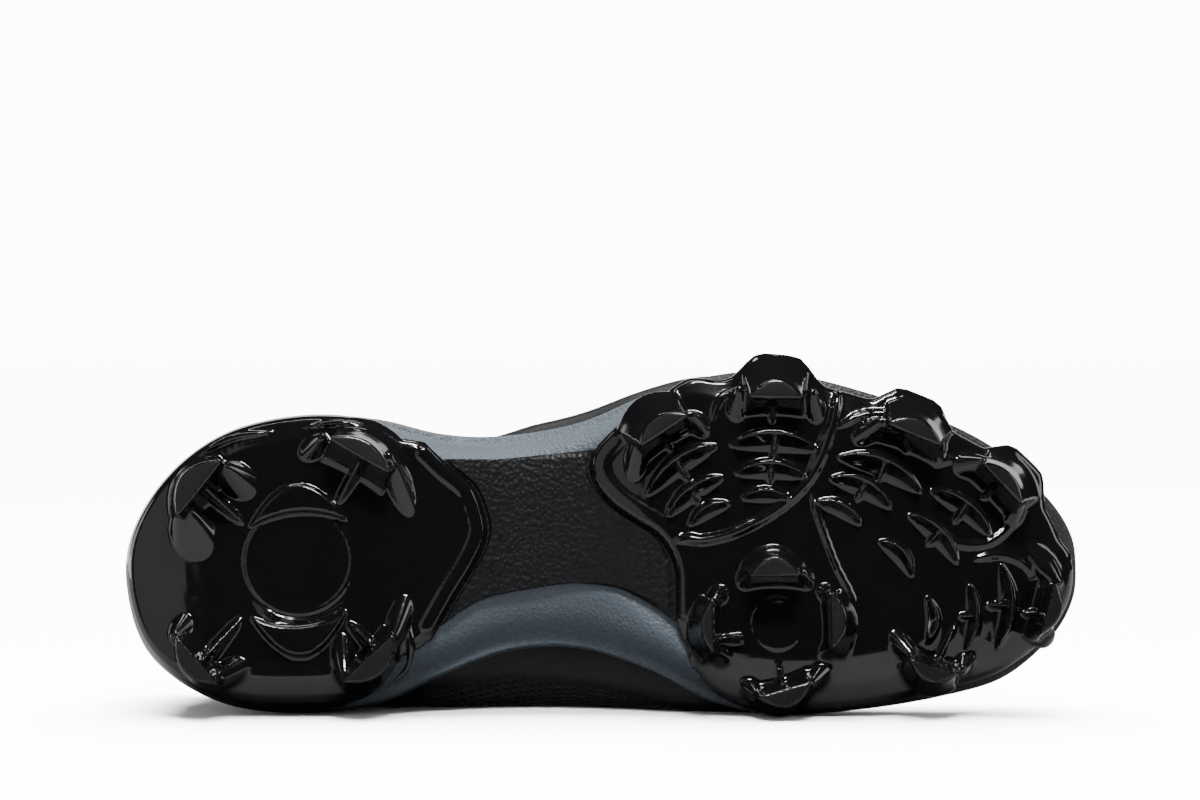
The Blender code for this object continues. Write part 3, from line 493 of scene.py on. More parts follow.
def upper_point(place, t):
    """Point on the outside of the upper, t from the sole to the opening."""
    a, b, c, d = upper_pulls(round(place % turns, 5))
    s = 1.0 - t
    return a * s ** 3 + b * 3 * s * s * t + c * 3 * s * t * t + d * t ** 3


def upper_normal(place, t):
    """Outward direction of the upper's surface."""
    low = max(t - 0.02, 0.0)
    high = min(t + 0.02, 1.0)
    climb = upper_point(place, high) - upper_point(place, low)
    run = upper_point(place + 0.1, t) - upper_point(place - 0.1, t)
    return run.cross(climb).normalized()


def curve_through(points, steps):
    """Smooth line through points, with so many steps between neighbours."""
    out = []
    for i in range(len(points) - 1):
        a = points[max(i - 1, 0)]
        b = points[i]
        c = points[i + 1]
        d = points[min(i + 2, len(points) - 1)]
        for k in range(steps):
            t = k / steps
            out.append(b + (c - a) * (t * 0.5) + (a * 2 - b * 5 + c * 4 - d) * (t * t * 0.5)
                       + (b * 3 - a - c * 3 + d) * (t * t * t * 0.5))
    out.append(points[-1].copy())
    return out


# Mesh tools

def chosen(item):
    """Leave one object selected and active."""
    bpy.ops.object.select_all(action="DESELECT")
    item.select_set(True)
    bpy.context.view_layer.objects.active = item
    return item


def laid(mesh, name):
    """Object from a mesh of the upright shoe, laid in the row's frame."""
    bmesh.ops.recalc_face_normals(mesh, faces=mesh.faces[:])
    mesh.transform(lay)
    data = bpy.data.meshes.new(name)
    mesh.to_mesh(data)
    mesh.free()
    item = bpy.data.objects.new(name, data)
    bpy.context.scene.collection.objects.link(item)
    return chosen(item)


def smooth_faces(item, angle=38):
    chosen(item)
    bpy.ops.object.shade_smooth_by_angle(angle=math.radians(angle))


def change(item, name, kind, **settings):
    """Add a modifier, set it and apply it."""
    chosen(item)
    step = item.modifiers.new(name, kind)
    for key, value in settings.items():
        setattr(step, key, value)
    bpy.ops.object.modifier_apply(modifier=step.name)


def skin(mesh, rings, caps=True):
    """Faces between rings of equal count; returns the rings' vertices."""
    verts = [[mesh.verts.new(p) for p in ring] for ring in rings]
    count = len(verts[0])
    for low, high in zip(verts, verts[1:]):
        for i in range(count):
            j = (i + 1) % count
            mesh.faces.new((low[i], low[j], high[j], high[i]))
    if caps:
        mesh.faces.new(verts[0])
        mesh.faces.new(verts[-1])
    return verts


def close_round(mesh, ring):
    """Close a ring that starts at the heel with strips across the shoe."""
    count = len(ring)
    half = count // 2
    mesh.faces.new((ring[0], ring[1], ring[-1]))
    for i in range(1, half - 1):
        mesh.faces.new((ring[i], ring[i + 1], ring[count - i - 1], ring[count - i]))
    mesh.faces.new((ring[half - 1], ring[half], ring[half + 1]))


def sheet_pair(outer, inner, closed=False, uv=None, lining=False):
    """Closed sheet between two grids of points, with a map of its own."""
    mesh = bmesh.new()
    layer = mesh.loops.layers.uv.new("UVMap")
    a = [[mesh.verts.new(p) for p in row] for row in outer]
    b = [[mesh.verts.new(p) for p in row] for row in inner]
    place = {}
    for i, (row, back) in enumerate(zip(a, b)):
        for j in range(len(row)):
            spot = uv(i, j) if uv else (j * 0.002, i * 0.002)
            place[row[j]] = spot
            place[back[j]] = spot
    rows = len(a)
    cols = len(a[0])
    span = cols if closed else cols - 1
    for i in range(rows - 1):
        for j in range(span):
            k = (j + 1) % cols
            mesh.faces.new((a[i][j], a[i][k], a[i + 1][k], a[i + 1][j]))
            face = mesh.faces.new((b[i + 1][j], b[i + 1][k], b[i][k], b[i][j]))
            face.material_index = 1 if lining else 0
    for i in (0, rows - 1):
        for j in range(span):
            k = (j + 1) % cols
            mesh.faces.new((a[i][j], a[i][k], b[i][k], b[i][j]))
    if not closed:
        for j in (0, cols - 1):
            for i in range(rows - 1):
                mesh.faces.new((a[i][j], a[i + 1][j], b[i + 1][j], b[i][j]))
    wide = uv(0, cols)[0] - uv(0, 0)[0] if (closed and uv) else 0.0
    for face in mesh.faces:
        spots = [place[loop.vert] for loop in face.loops]
        far = max(s[0] for s in spots)
        for loop, spot in zip(face.loops, spots):
            shift = wide if closed and far - spot[0] > wide * 0.5 else 0.0
            loop[layer].uv = (spot[0] + shift, spot[1])
    return mesh


# Finishes

class Finish:
    """A named material with short calls for the nodes it is built from."""

    def __init__(self, name, colour, rough, **sockets):
        self.material = bpy.data.materials.new(name)
        self.material.use_nodes = True
        self.nodes = self.material.node_tree.nodes
        self.links = self.material.node_tree.links
        self.shader = self.nodes["Principled BSDF"]
        self.colour = colour
        self.put("Base Color", (*colour, 1.0))
        self.put("Roughness", rough)
        for key, value in sockets.items():
            self.put(key.replace("_", " "), value)
        self.height = None

    def put(self, socket, value):
        self.shader.inputs[socket].default_value = value

    def add(self, kind, **settings):
        node = self.nodes.new(kind)
        for key, value in settings.items():
            if key in node.inputs:
                node.inputs[key].default_value = value
            else:
                setattr(node, key, value)
        return node

    def join(self, source, target, socket):
        self.links.new(source, target.inputs[socket])

    def spots(self, source="Object", scale=(1.0, 1.0, 1.0)):
        """Coordinates of a piece, in metres times a scale."""
        where = self.add("ShaderNodeTexCoord")
        place = self.add("ShaderNodeMapping")
        place.inputs["Scale"].default_value = scale
        self.join(where.outputs[source], place, "Vector")
        return place.outputs["Vector"]

    def noise(self, size, detail=3.0):
        """Noise whose lumps are about so many metres across."""
        node = self.add("ShaderNodeTexNoise", Scale=1.0 / size, Detail=detail, Roughness=0.5)
        self.join(self.spots(), node, "Vector")
        return node.outputs["Fac"]

    def cells(self, size, feature="F1", source="Object", random=1.0):
        """Distance from the middles of cells about so many metres across."""
        node = self.add("ShaderNodeTexVoronoi", Scale=1.0 / size, Randomness=random)
        node.feature = feature
        self.join(self.spots(source), node, "Vector")
        return node.outputs["Distance"]

    def ramp(self, source, low, high, start, end):
        """Value from start to end while the source goes from low to high."""
        node = self.add("ShaderNodeMapRange")
        for key, value in (("From Min", low), ("From Max", high), ("To Min", start), ("To Max", end)):
            node.inputs[key].default_value = value
        self.join(source, node, "Value")
        return node.outputs["Result"]

    def sum(self, a, b, operation="ADD"):
        """Two values added, or joined by another operation."""
        node = self.add("ShaderNodeMath", operation=operation)
        self.links.new(a, node.inputs[0])
        self.links.new(b, node.inputs[1])
        return node.outputs[0]

    def shade(self, source, low, high):
        """Colour that goes between two tints with the source."""
        node = self.add("ShaderNodeMix", data_type="RGBA")
        node.inputs[6].default_value = (*[c * low for c in self.colour], 1.0)
        node.inputs[7].default_value = (*[c * high for c in self.colour], 1.0)
        self.links.new(source, node.inputs[0])
        self.links.new(node.outputs[2], self.shader.inputs["Base Color"])
        return node

    def relief(self, source, depth, strength=1.0, coat=False):
        """Bump of a depth in metres, stacked on the one before."""
        node = self.add("ShaderNodeBump", Strength=strength, Distance=depth)
        self.join(source, node, "Height")
        if self.height is not None:
            self.links.new(self.height, node.inputs["Normal"])
        self.height = node.outputs["Normal"]
        self.links.new(self.height, self.shader.inputs["Normal"])
        if coat:
            self.links.new(self.height, self.shader.inputs["Coat Normal"])


def gloss_black(name, colour):
    """Moulded plastic with a wet shine, duller on the flat ends of the studs, where the colour is also lifted
    a little as a painted reflection.
    """
    skin_ = Finish(name, colour, 0.12, Coat_Weight=0.30, Coat_Roughness=0.04, IOR=1.5)
    tip = skin_.add("ShaderNodeAttribute", attribute_name="tip").outputs["Fac"]
    # Slightly lighter colour on the flat stud ends is a painted reflection; their rougher, uncoated finish is
    # their own.
    tint = skin_.add("ShaderNodeMix", data_type="RGBA")
    tint.inputs[6].default_value = (*colour, 1.0)
    tint.inputs[7].default_value = (*[c * 1.1 for c in colour], 1.0)
    skin_.links.new(tip, tint.inputs[0])
    skin_.links.new(tint.outputs[2], skin_.shader.inputs["Base Color"])
    plain = skin_.ramp(skin_.noise(0.012, 4.0), 0.3, 0.7, 0.08, 0.15)
    rough = skin_.sum(plain, skin_.ramp(tip, 0.0, 1.0, 0.0, 0.26))
    skin_.links.new(rough, skin_.shader.inputs["Roughness"])
    skin_.links.new(skin_.ramp(tip, 0.0, 1.0, 0.30, 0.0), skin_.shader.inputs["Coat Weight"])
    skin_.relief(skin_.noise(0.007, 1.0), 0.0003, 0.06, coat=True)
    return skin_.material


def grained_panel(name, colour):
    """Hard matt plastic with a coarse leathery grain."""
    skin_ = Finish(name, colour, 0.42, IOR=1.45, Specular_IOR_Level=0.30)
    skin_.shade(skin_.noise(0.01, 3.0), 0.8, 1.2)
    skin_.links.new(skin_.ramp(skin_.noise(0.0014, 3.0), 0.3, 0.7, 0.36, 0.50),
                    skin_.shader.inputs["Roughness"])
    skin_.relief(skin_.cells(0.0012, "SMOOTH_F1"), 0.00036, 0.7)
    skin_.relief(skin_.noise(0.0008, 2.0), 0.00012, 0.4)
    return skin_.material


def moulded_foam(name, colour, dark):
    """Foam with a fine pebbled skin, blue grey at the waist and black beyond it."""
    skin_ = Finish(name, colour, 0.50, IOR=1.45)
    mottle = skin_.shade(skin_.sum(skin_.noise(0.03, 2.0), skin_.noise(0.0010, 2.0), "MULTIPLY"), 0.80, 1.45)
    side = skin_.add("ShaderNodeAttribute", attribute_name="waist").outputs["Fac"]
    both = skin_.add("ShaderNodeMix", data_type="RGBA")
    skin_.links.new(skin_.ramp(side, -0.01, 0.01, 0.0, 1.0), both.inputs[0])
    both.inputs[6].default_value = (*dark, 1.0)
    skin_.links.new(mottle.outputs[2], both.inputs[7])
    skin_.links.new(both.outputs[2], skin_.shader.inputs["Base Color"])
    skin_.links.new(skin_.ramp(skin_.noise(0.0012, 2.0), 0.3, 0.7, 0.40, 0.58),
                    skin_.shader.inputs["Roughness"])
    skin_.relief(skin_.cells(0.0009, "SMOOTH_F1"), 0.00035, 0.85)
    skin_.relief(skin_.noise(0.0006, 2.0), 0.00014, 0.6)
    return skin_.material


def weave(skin_, pitch, depth, strength=1.0):
    """Crossed threads along the piece's own map."""
    rate = math.tau / pitch
    where = skin_.spots("UV", (rate, rate, rate))
    split = skin_.add("ShaderNodeSeparateXYZ")
    skin_.join(where, split, "Vector")
    waves = []
    for axis in ("X", "Y"):
        node = skin_.add("ShaderNodeMath", operation="SINE")
        skin_.links.new(split.outputs[axis], node.inputs[0])
        waves.append(node.outputs[0])
    cross = skin_.sum(waves[0], waves[1], "MULTIPLY")
    lifted = skin_.ramp(cross, -1.0, 1.0, 0.0, 1.0)
    skin_.relief(lifted, depth, strength)
    return lifted


def knit(name, colour, pitch=0.0011, rough=0.78):
    """Cloth of crossed threads with a light nap."""
    skin_ = Finish(name, colour, rough, Sheen_Weight=0.25, Sheen_Roughness=0.5)
    lifted = weave(skin_, pitch, 0.00035)
    skin_.shade(skin_.sum(lifted, skin_.noise(0.01, 3.0), "MULTIPLY"), 0.55, 1.9)
    skin_.relief(skin_.noise(0.0004, 2.0), 0.00010, 0.4)
    return skin_.material


def open_mesh(name, colour):
    """Upper cloth: open mesh above, smooth pressed film low down and at the toe."""
    skin_ = Finish(name, colour, 0.6, Sheen_Weight=0.15, Sheen_Roughness=0.4)
    film = skin_.add("ShaderNodeAttribute", attribute_name="film").outputs["Fac"]
    holes = skin_.cells(0.0023, "F1", "UV", 0.0)
    hole = skin_.ramp(holes, 0.16, 0.30, 0.0, 1.0)
    cloth = skin_.sum(hole, film, "MAXIMUM")
    grey = skin_.add("ShaderNodeMix", data_type="RGBA")
    grey.inputs[6].default_value = (*[c * 0.25 for c in colour], 1.0)
    grey.inputs[7].default_value = (*[c * 2.6 for c in colour], 1.0)
    skin_.links.new(cloth, grey.inputs[0])
    both = skin_.add("ShaderNodeMix", data_type="RGBA")
    skin_.links.new(film, both.inputs[0])
    skin_.links.new(grey.outputs[2], both.inputs[6])
    both.inputs[7].default_value = (*[c * 0.7 for c in colour], 1.0)
    skin_.links.new(both.outputs[2], skin_.shader.inputs["Base Color"])
    skin_.links.new(skin_.ramp(film, 0.0, 1.0, 0.75, 0.42), skin_.shader.inputs["Roughness"])
    skin_.relief(cloth, 0.0006, 0.9)
    skin_.relief(skin_.noise(0.0008, 4.0), 0.00015, 0.5)
    return skin_.material


def pressed_hide(name, colour, rough=0.45):
    """Smooth synthetic hide with a fine pore."""
    skin_ = Finish(name, colour, rough, IOR=1.45)
    skin_.shade(skin_.noise(0.008, 4.0), 0.75, 1.3)
    skin_.relief(skin_.cells(0.0011, "SMOOTH_F1"), 0.00016, 0.6)
    skin_.relief(skin_.noise(0.0005, 3.0), 0.00008, 0.5)
    return skin_.material


def pale_floor(name, colour):
    """Plain white floor that throws back less light than it shows."""
    skin_ = Finish(name, colour, 0.85)
    soft = skin_.shade(skin_.noise(0.6, 2.0), 0.995, 1.005)
    path = skin_.add("ShaderNodeLightPath")
    dim = skin_.add("ShaderNodeMix", data_type="RGBA")
    dim.inputs[6].default_value = (0.060, 0.060, 0.061, 1.0)
    skin_.links.new(path.outputs["Is Camera Ray"], dim.inputs[0])
    skin_.links.new(soft.outputs[2], dim.inputs[7])
    skin_.links.new(dim.outputs[2], skin_.shader.inputs["Base Color"])
    skin_.put("Specular IOR Level", 0.0)
    return skin_.material


# Sole pieces

# Columns of a pod for each place of the outline, and share of faces kept behind
pod_steps = 8
back_share = 0.08
# A stud's flat end: share of its height where it starts, how squarely it has to
# face outward, and over what range of that the mark grows
tip_start = 0.86
tip_facing = 0.955
tip_range = 0.03
# Distance between the tread levels that are worked out ahead for the marks
level_step = 0.0005


def pod_columns(first, final, edge):
    """Columns round one pod: the rim from first to final, then its waist edge."""
    found = []
    steps = round((final - first) * pod_steps)
    for i in range(steps + 1):
        place = first + i / pod_steps
        ends = min(i, steps - i) / pod_steps
        rise = min(ends, 1.0)
        plan, inward = rim(place)
        out = swelling(plan) * rise
        found.append((plan, inward, foam_section(place), rise, out))
    knots = [Vector((x * length, side * ball_width)) for x, side in edge]
    points = curve_through(knots, 6)
    before = [rim(final)[0]] + points[:-1]
    after = points[1:] + [rim(first)[0]]
    for plan, a, b in zip(points, before, after):
        run = (b - a).normalized()
        found.append((plan, Vector((run.y, -run.x)), None, 0.0, 0.0))
    return found


def pod_profile(column):
    """Inset and height pairs of one pod column, underside first."""
    plan, inward, section, rise, out = column
    if section is None:
        top = plate - seat
        steps = ((0.0065, 0.0), (0.0040, 0.0), (0.0026, 0.0003), (0.0012, 0.0007), (0.0004, 0.0015),
                 (0.0, top - 0.0003), (0.0012, top), (0.0020, top), (0.0030, top))
        return [(inset, (ground if lift < 0.001 else tread_at)(plan + inward * inset) + lift)
                for inset, lift in steps]
    (bevel, under), (knee_in, knee), (wall, cup) = section[:3]
    slack = gap * 0.8 if rise == 1.0 else seat * 1.5
    path = ((bevel, under - seat), (knee_in - slack, knee - slack), (wall - gap, cup))

    def walk(share):
        if share <= 0.5:
            a, b, t = path[0], path[1], share * 2
        else:
            a, b, t = path[1], path[2], share * 2 - 1
        return a[0] + (b[0] - a[0]) * t, a[1] + (b[1] - a[1]) * t

    lip_in, lip = walk(rise)
    mid_in, mid = walk(rise * 0.5)
    if rise == 0:
        path = ((bevel + 0.0012, under - seat * 2),)
        lip = under - seat * 2
        mid = lip
        mid_in = bevel + 0.0006
    face = lip_in - cup_wall + gap * 0.5
    wide = 1.0 + rise

    def level(inset):
        return ground(plan + inward * inset)

    low = level(face - out)
    wall = max(lip - low, 0.002)
    lean = heel_lean * rise if plan.x < 0.11 else 0.0
    return ((face + 0.0075 * wide - out * 0.5, level(face + 0.0075 * wide - out * 0.5)),
            (face + 0.0036 * wide - out + lean, level(face + 0.0036 * wide - out + lean)),
            (face + 0.0015 - out + lean, level(face + 0.0015 - out + lean) + 0.0003),
            (face + 0.0004 - out + lean * 0.85, low + 0.0012),
            (face - out + lean * 0.35, low + wall * 0.45),
            (face - out * 0.8, lip - 0.0004), (lip_in, lip), (mid_in, mid), path[0])


def pod_base(mesh, span, edge, centre):
    """Plate of one pod with its wall round the foam."""
    columns = pod_columns(span[0], span[1], edge)
    middle = Vector((centre[0] * length, centre[1] * ball_width))
    profiles = [pod_profile(column) for column in columns]
    rings = []
    shares = [0.04 + 0.06 * i for i in range(16)]

    def ring_of(level, share, drop):
        ring = []
        for column, profile in zip(columns, profiles):
            inset, height = profile[level]
            plan = column[0] + column[1] * inset
            if share < 1.0:
                plan = middle + (plan - middle) * share
                height = backing(plan) if drop else ground(plan)
            ring.append(raised(plan, height))
        return ring

    for share in shares:
        rings.append(ring_of(0, share, 0.0))
    for level in range(9):
        rings.append(ring_of(level, 1.0, 0.0))
    for share in reversed(shares):
        rings.append(ring_of(8, share, plate - seat))
    skin(mesh, rings)
    return columns


def crescent(centre, heading, chord, bow, outward, inward, hollow, blunt):
    """Plan loop of a half moon whose round side looks along the heading."""
    ahead = Vector((math.cos(heading), math.sin(heading)))
    across = Vector((-ahead.y, ahead.x))
    loop = []
    for i in range(25):
        v = i / 12 - 1.0
        taper = 1.0 if blunt else 1.0 - v ** 4
        loop.append(centre + across * (chord * 0.5 * v) + ahead * (bow * (1.0 - v * v) + outward * taper))
    for i in range(15):
        v = (0.92 if blunt else 0.97) * (1.0 - i / 7)
        taper = 1.0 if blunt else 1.0 - v ** 4
        back = hollow * bow * (1.0 - v * v) - inward * taper
        loop.append(centre + across * (chord * 0.5 * v) + ahead * back)
    return loop


# Height share, then outward and inward shares of the spread, hollow of the inner
# side and how much wider than the top, from the foot to the top of a form
stud_levels = (
    (0.00, 1.00, 1.00, 0.22, 0.26), (0.07, 0.90, 0.76, 0.18, 0.22), (0.16, 0.78, 0.60, 0.13, 0.18),
    (0.35, 0.58, 0.44, 0.08, 0.12), (0.60, 0.33, 0.26, 0.04, 0.08), (0.97, 0.03, 0.04, -0.03, 0.04),
    (1.00, 0.0, 0.0, -0.03, 0.02),
)
blade_levels = (
    (0.00, 1.00, 1.00, -0.04, 0.07), (0.20, 0.62, 0.15, 0.22, 0.03), (0.55, 0.30, 0.05, 0.46, 0.02),
    (0.94, 0.06, 0.0, 0.70, 0.0), (1.00, -0.10, -0.05, 0.74, -0.02),
)
ridge_levels = (
    (0.00, 1.00, 1.00, 0.25, 0.04), (0.30, 0.66, 0.10, 0.29, 0.02), (0.60, 0.48, 0.0, 0.32, 0.02),
    (0.88, 0.28, 0.0, 0.36, 0.0), (1.00, -0.10, 0.0, 0.84, -0.03),
)


def lug(mesh, row, height, outward, inward, levels, blunt=False, spread=1.0):
    """One form of a half moon plan standing on the ground of a pod."""
    x, side, turn, chord, bow = row[:5]
    centre = Vector((x * length, side * ball_width))
    heading = math.radians(turn)
    slope = (tread(centre.x + 0.004) - tread(centre.x - 0.004)) / 0.008
    rings = []
    for share, out, back, hollow, wider in ((-0.1, 1.0, 1.0, levels[0][3], levels[0][4]),) + levels:
        loop = crescent(centre, heading, chord * ball_width * (1.0 + wider * spread), bow * ball_width,
                        outward * out, inward * back + (0.0002 if blunt else 0.0), hollow, blunt)
        ring = []
        for plan in loop:
            top = tread(centre.x) + slope * (plan.x - centre.x) - height
            if share < 0:
                level = ground(plan) + 0.0012
            else:
                level = ground(plan) * (1.0 - share) + top * share
            ring.append(raised(plan, level))
        rings.append(ring)
    skin(mesh, rings)


def arm(mesh, root, far, wide, height):
    """Ramp that slopes from one end of a tall stud to the ground."""
    run = (far - root).normalized()
    across = Vector((-run.y, run.x))
    half = (far - root).length * 0.5
    rings = []
    for level in (-0.15, 0.0, 0.10, 0.22, 0.36, 0.52, 0.70, 0.86, 1.0):
        up = max(level, 0.0)
        long_half = half * (1.0 - up) ** 1.1 + 0.0014
        wide_half = wide * 0.5 * (1.0 - up) ** 0.75 + 0.0009
        middle = root + run * (long_half - 0.0020)
        ring = []
        for k in range(24):
            turn = math.tau * k / 24
            plan = middle + run * long_half * math.cos(turn) + across * wide_half * math.sin(turn)
            ring.append(raised(plan, ground(plan) + 0.0012 if level < 0 else ground(plan) - up * height))
        rings.append(ring)
    skin(mesh, rings)


def fin(mesh, start, finish, tall, wide):
    """Pointed web that falls from a stud to the ground, in metres."""
    run = (finish - start).normalized()
    across = Vector((-run.y, run.x))
    rings = []
    for share in (0.0, 0.2, 0.4, 0.6, 0.8, 0.93, 1.0):
        here = start.lerp(finish, share)
        up = tall * (1.0 - share) ** 0.9 + 0.0002
        half = wide * (1.0 - share * 0.5) * (1.0 if share < 0.9 else (0.7 if share < 1.0 else 0.25))
        ring = []
        for side, level in ((1.0, -0.0012), (-1.0, -0.0012), (-0.90, 0.0003), (-0.30, up * 0.82), (0.0, up),
                            (0.30, up * 0.82), (0.90, 0.0003)):
            plan = here + across * (half * side)
            ring.append(raised(plan, ground(plan) - level))
        rings.append(ring)
    skin(mesh, rings)


def line_along(mesh, points, wide, tall):
    """Soft raised line over plan points, tapered at both ends."""
    path = curve_through([Vector(p) * 0.001 for p in points], 8)
    rings = []
    for i, here in enumerate(path):
        run = (path[min(i + 1, len(path) - 1)] - path[max(i - 1, 0)]).normalized()
        across = Vector((-run.y, run.x))
        ends = eased(min(i, len(path) - 1 - i) / 6.0) * 0.8 + 0.2
        ring = []
        for k in range(10):
            turn = math.tau * k / 10
            plan = here + across * (wide * 0.001 * ends * math.cos(turn) * 1.25)
            level = ground(plan) + math.sin(turn) * tall * 0.001 * ends * 1.15
            ring.append(raised(plan, level))
        rings.append(ring)
    skin(mesh, rings)


def edge_lines(mesh, edge, insets):
    """Raised lips that run beside a pod's waist edge."""
    knots = [Vector((x * length, side * ball_width)) for x, side in edge]
    path = curve_through(knots, 3)
    for inset, wide, tall in insets:
        moved = []
        for i, here in enumerate(path):
            run = (path[min(i + 1, len(path) - 1)] - path[max(i - 1, 0)]).normalized()
            moved.append((here + Vector((run.y, -run.x)) * inset) * 1000)
        line_along(mesh, moved, wide, tall)


def turned(mesh, x, side, profile, count=64):
    """Round form about an upright axis, from radius and lift pairs in mm."""
    centre = Vector((x * length, side * ball_width))
    rings = []
    for radius, lift in profile:
        ring = []
        for i in range(count):
            turn = math.tau * i / count
            plan = centre + Vector((math.cos(turn), math.sin(turn))) * radius * 0.001
            ring.append(raised(plan, ground(plan) - lift * 0.001))
        rings.append(ring)
    skin(mesh, rings)


def moulded(mesh, name, voxel, passes):
    """Melt overlapping forms into one skin with soft fillets."""
    item = laid(mesh, name)
    change(item, "melt", "REMESH", mode="VOXEL", voxel_size=voxel, adaptivity=0.0)
    change(item, "soften", "SMOOTH", factor=0.5, iterations=passes)
    chosen(item)
    bpy.ops.object.shade_smooth()
    return item


def thin_back(item, ratio):
    """Fewer faces where the pod lies against the foam."""
    chosen(item)
    back = lay.inverted()
    up = back.to_3x3()
    for face in item.data.polygons:
        at = back @ face.center
        face.select = (up @ face.normal).z > 0.5 and at.z > tread(round(at.x, 4)) + plate * 0.4
    for vertex in item.data.vertices:
        vertex.select = False
    for edge in item.data.edges:
        edge.select = False
    bpy.ops.object.mode_set(mode="EDIT")
    bpy.ops.mesh.select_mode(type="FACE")
    bpy.ops.mesh.decimate(ratio=ratio)
    bpy.ops.object.mode_set(mode="OBJECT")


def in_pod(row, heel):
    return (row[0] < 0.45) == heel


def add_lugs(mesh, heel, height):
    for row in studs:
        if in_pod(row, heel):
            lug(mesh, row, height, row[5] * ball_width, row[6] * ball_width, stud_levels, True,
                0.35 if heel else 1.0)
    for ax, ay, bx, by, wide, share in arms:
        if (ax < 130) == heel:
            arm(mesh, Vector((ax, ay)) * 0.001, Vector((bx, by)) * 0.001, wide * 0.001, share * height)
    for ax, ay, bx, by, half, share in webs:
        if (ax < 130) == heel:
            fin(mesh, Vector((ax, ay)) * 0.001, Vector((bx, by)) * 0.001, share * height, half * 0.001)
    for number, row in enumerate(blades):
        if in_pod(row, heel):
            tall = row[5] * height
            lug(mesh, row, tall, 0.0009, 0.0012, blade_levels)
            if number % 3 < 2:
                heading = math.radians(row[2])
                ahead = Vector((math.cos(heading), math.sin(heading)))
                centre = Vector((row[0] * length, row[1] * ball_width))
                fin(mesh, centre + ahead * row[4] * ball_width * 0.8,
                    centre - ahead * (0.0042 - 0.0012 * (number % 3)), tall * 1.0, 0.0015)


def mark_tips(item, height):
    """Note which part of a pod is the flat end of a tall stud."""
    back = lay.inverted()
    up = back.to_3x3()
    marks = item.data.attributes.new("tip", "FLOAT", "POINT")
    levels = [tread(i * level_step) for i in range(int(length / level_step) + 2)]
    values = []
    for vertex in item.data.vertices:
        at = back @ vertex.co
        where = min(max(at.x / level_step, 0.0), len(levels) - 1.001)
        i = int(where)
        ground = levels[i] + (levels[i + 1] - levels[i]) * (where - i)
        value = 0.0
        if ground - at.z > height * tip_start:
            slope = (levels[i + 1] - levels[i]) / level_step
            flat = Vector((slope, 0.0, -1.0)).normalized()
            value = eased(((up @ vertex.normal).dot(flat) - tip_facing) / tip_range)
        values.append(value)
    marks.data.foreach_set("value", values)


def finished_pod(mesh, name, grain, settings, finish, node):
    """Melt a pod together, thin its back, mark its studs and hand it over."""
    item = moulded(mesh, name, grain, settings.fillets)
    thin_back(item, back_share)
    mark_tips(item, settings.stud_height)
    return ready(item, gloss_black(finish, settings.gloss_colour), "outsole", node)


def ready(item, finish, slot, *nodes):
    """Hand a finished piece over with its material and its place."""
    item.data.materials.clear()
    finishes = finish if isinstance(finish, (list, tuple)) else [finish]
    for paint in finishes:
        item.data.materials.append(paint)
    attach(item, "root")
    if nodes:
        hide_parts(*nodes)
    return item


# Settings

def size_setting(name, description, default, low, high):
    """A setting in metres."""
    return bpy.props.FloatProperty(name=name, description=description, default=default,
                                   min=low, max=high, subtype="DISTANCE", unit="LENGTH")


def colour_setting(name, description, default):
    """A colour setting."""
    return bpy.props.FloatVectorProperty(name=name, description=description, default=default,
                                         size=3, subtype="COLOR", min=0.0, max=1.0)


class SoleSettings(bpy.types.PropertyGroup):
    stud_height: size_setting(
        "Stud height", "How far the tall studs stand off the tread", 0.0115, 0.004, 0.02)
    heel_grain: size_setting(
        "Heel fineness", "Cell size used when the heel pod is melted together", 0.00048, 0.0003, 0.003)
    fore_grain: size_setting(
        "Forefoot fineness", "Cell size used when the forefoot pod is melted together",
        0.00058, 0.0003, 0.003)
    fillets: bpy.props.IntProperty(
        name="Fillets", description="Passes of softening over the moulded pods",
        default=3, min=0, max=30)
    gloss_colour: colour_setting(
        "Pod colour", "Colour of the glossy pods", (0.0045, 0.0043, 0.0050))
    panel_colour: colour_setting(
        "Waist panel colour", "Colour of the grained waist panel", (0.0042, 0.0045, 0.0056))
    foam_colour: colour_setting(
        "Foam colour", "Colour of the foam midsole", (0.086, 0.107, 0.128))


class UpperSettings(bpy.types.PropertyGroup):
    lace_width: size_setting(
        "Lace width", "Width of the flat lace", 0.0066, 0.002, 0.01)
    lace_thickness: size_setting(
        "Lace thickness", "Thickness of the flat lace", 0.0017, 0.0005, 0.003)
    stitch_length: size_setting(
        "Stitch length", "Distance from one stitch to the next", 0.0030, 0.001, 0.01)
    cloth_colour: colour_setting(
        "Upper colour", "Colour of the upper's mesh", (0.0082, 0.0085, 0.0095))
    trim_colour: colour_setting(
        "Trim colour", "Colour of facing, collar and tongue", (0.0102, 0.0105, 0.0116))
    lace_colour: colour_setting(
        "Lace colour", "Colour of the laces", (0.040, 0.040, 0.043))


class StageSettings(bpy.types.PropertyGroup):
    floor_colour: colour_setting(
        "Floor colour", "Colour of the plain floor", (0.93, 0.93, 0.935))
    lens: bpy.props.FloatProperty(
        name="Lens", description="Focal length of the camera in millimetres",
        default=116.13, min=20.0, max=300.0)
    distance: size_setting(
        "Camera distance", "Distance from the camera to the tread", 1.2, 0.3, 5.0)
    wash: bpy.props.FloatProperty(
        name="Floor wash", description="Strength of the even light that falls on the floor alone",
        default=42.0, min=0.0, max=200.0)
    key_power: bpy.props.FloatProperty(
        name="Key light", description="Power of the soft light overhead",
        default=18.0, min=0.0, max=500.0, subtype="POWER", unit="POWER")


# Operators

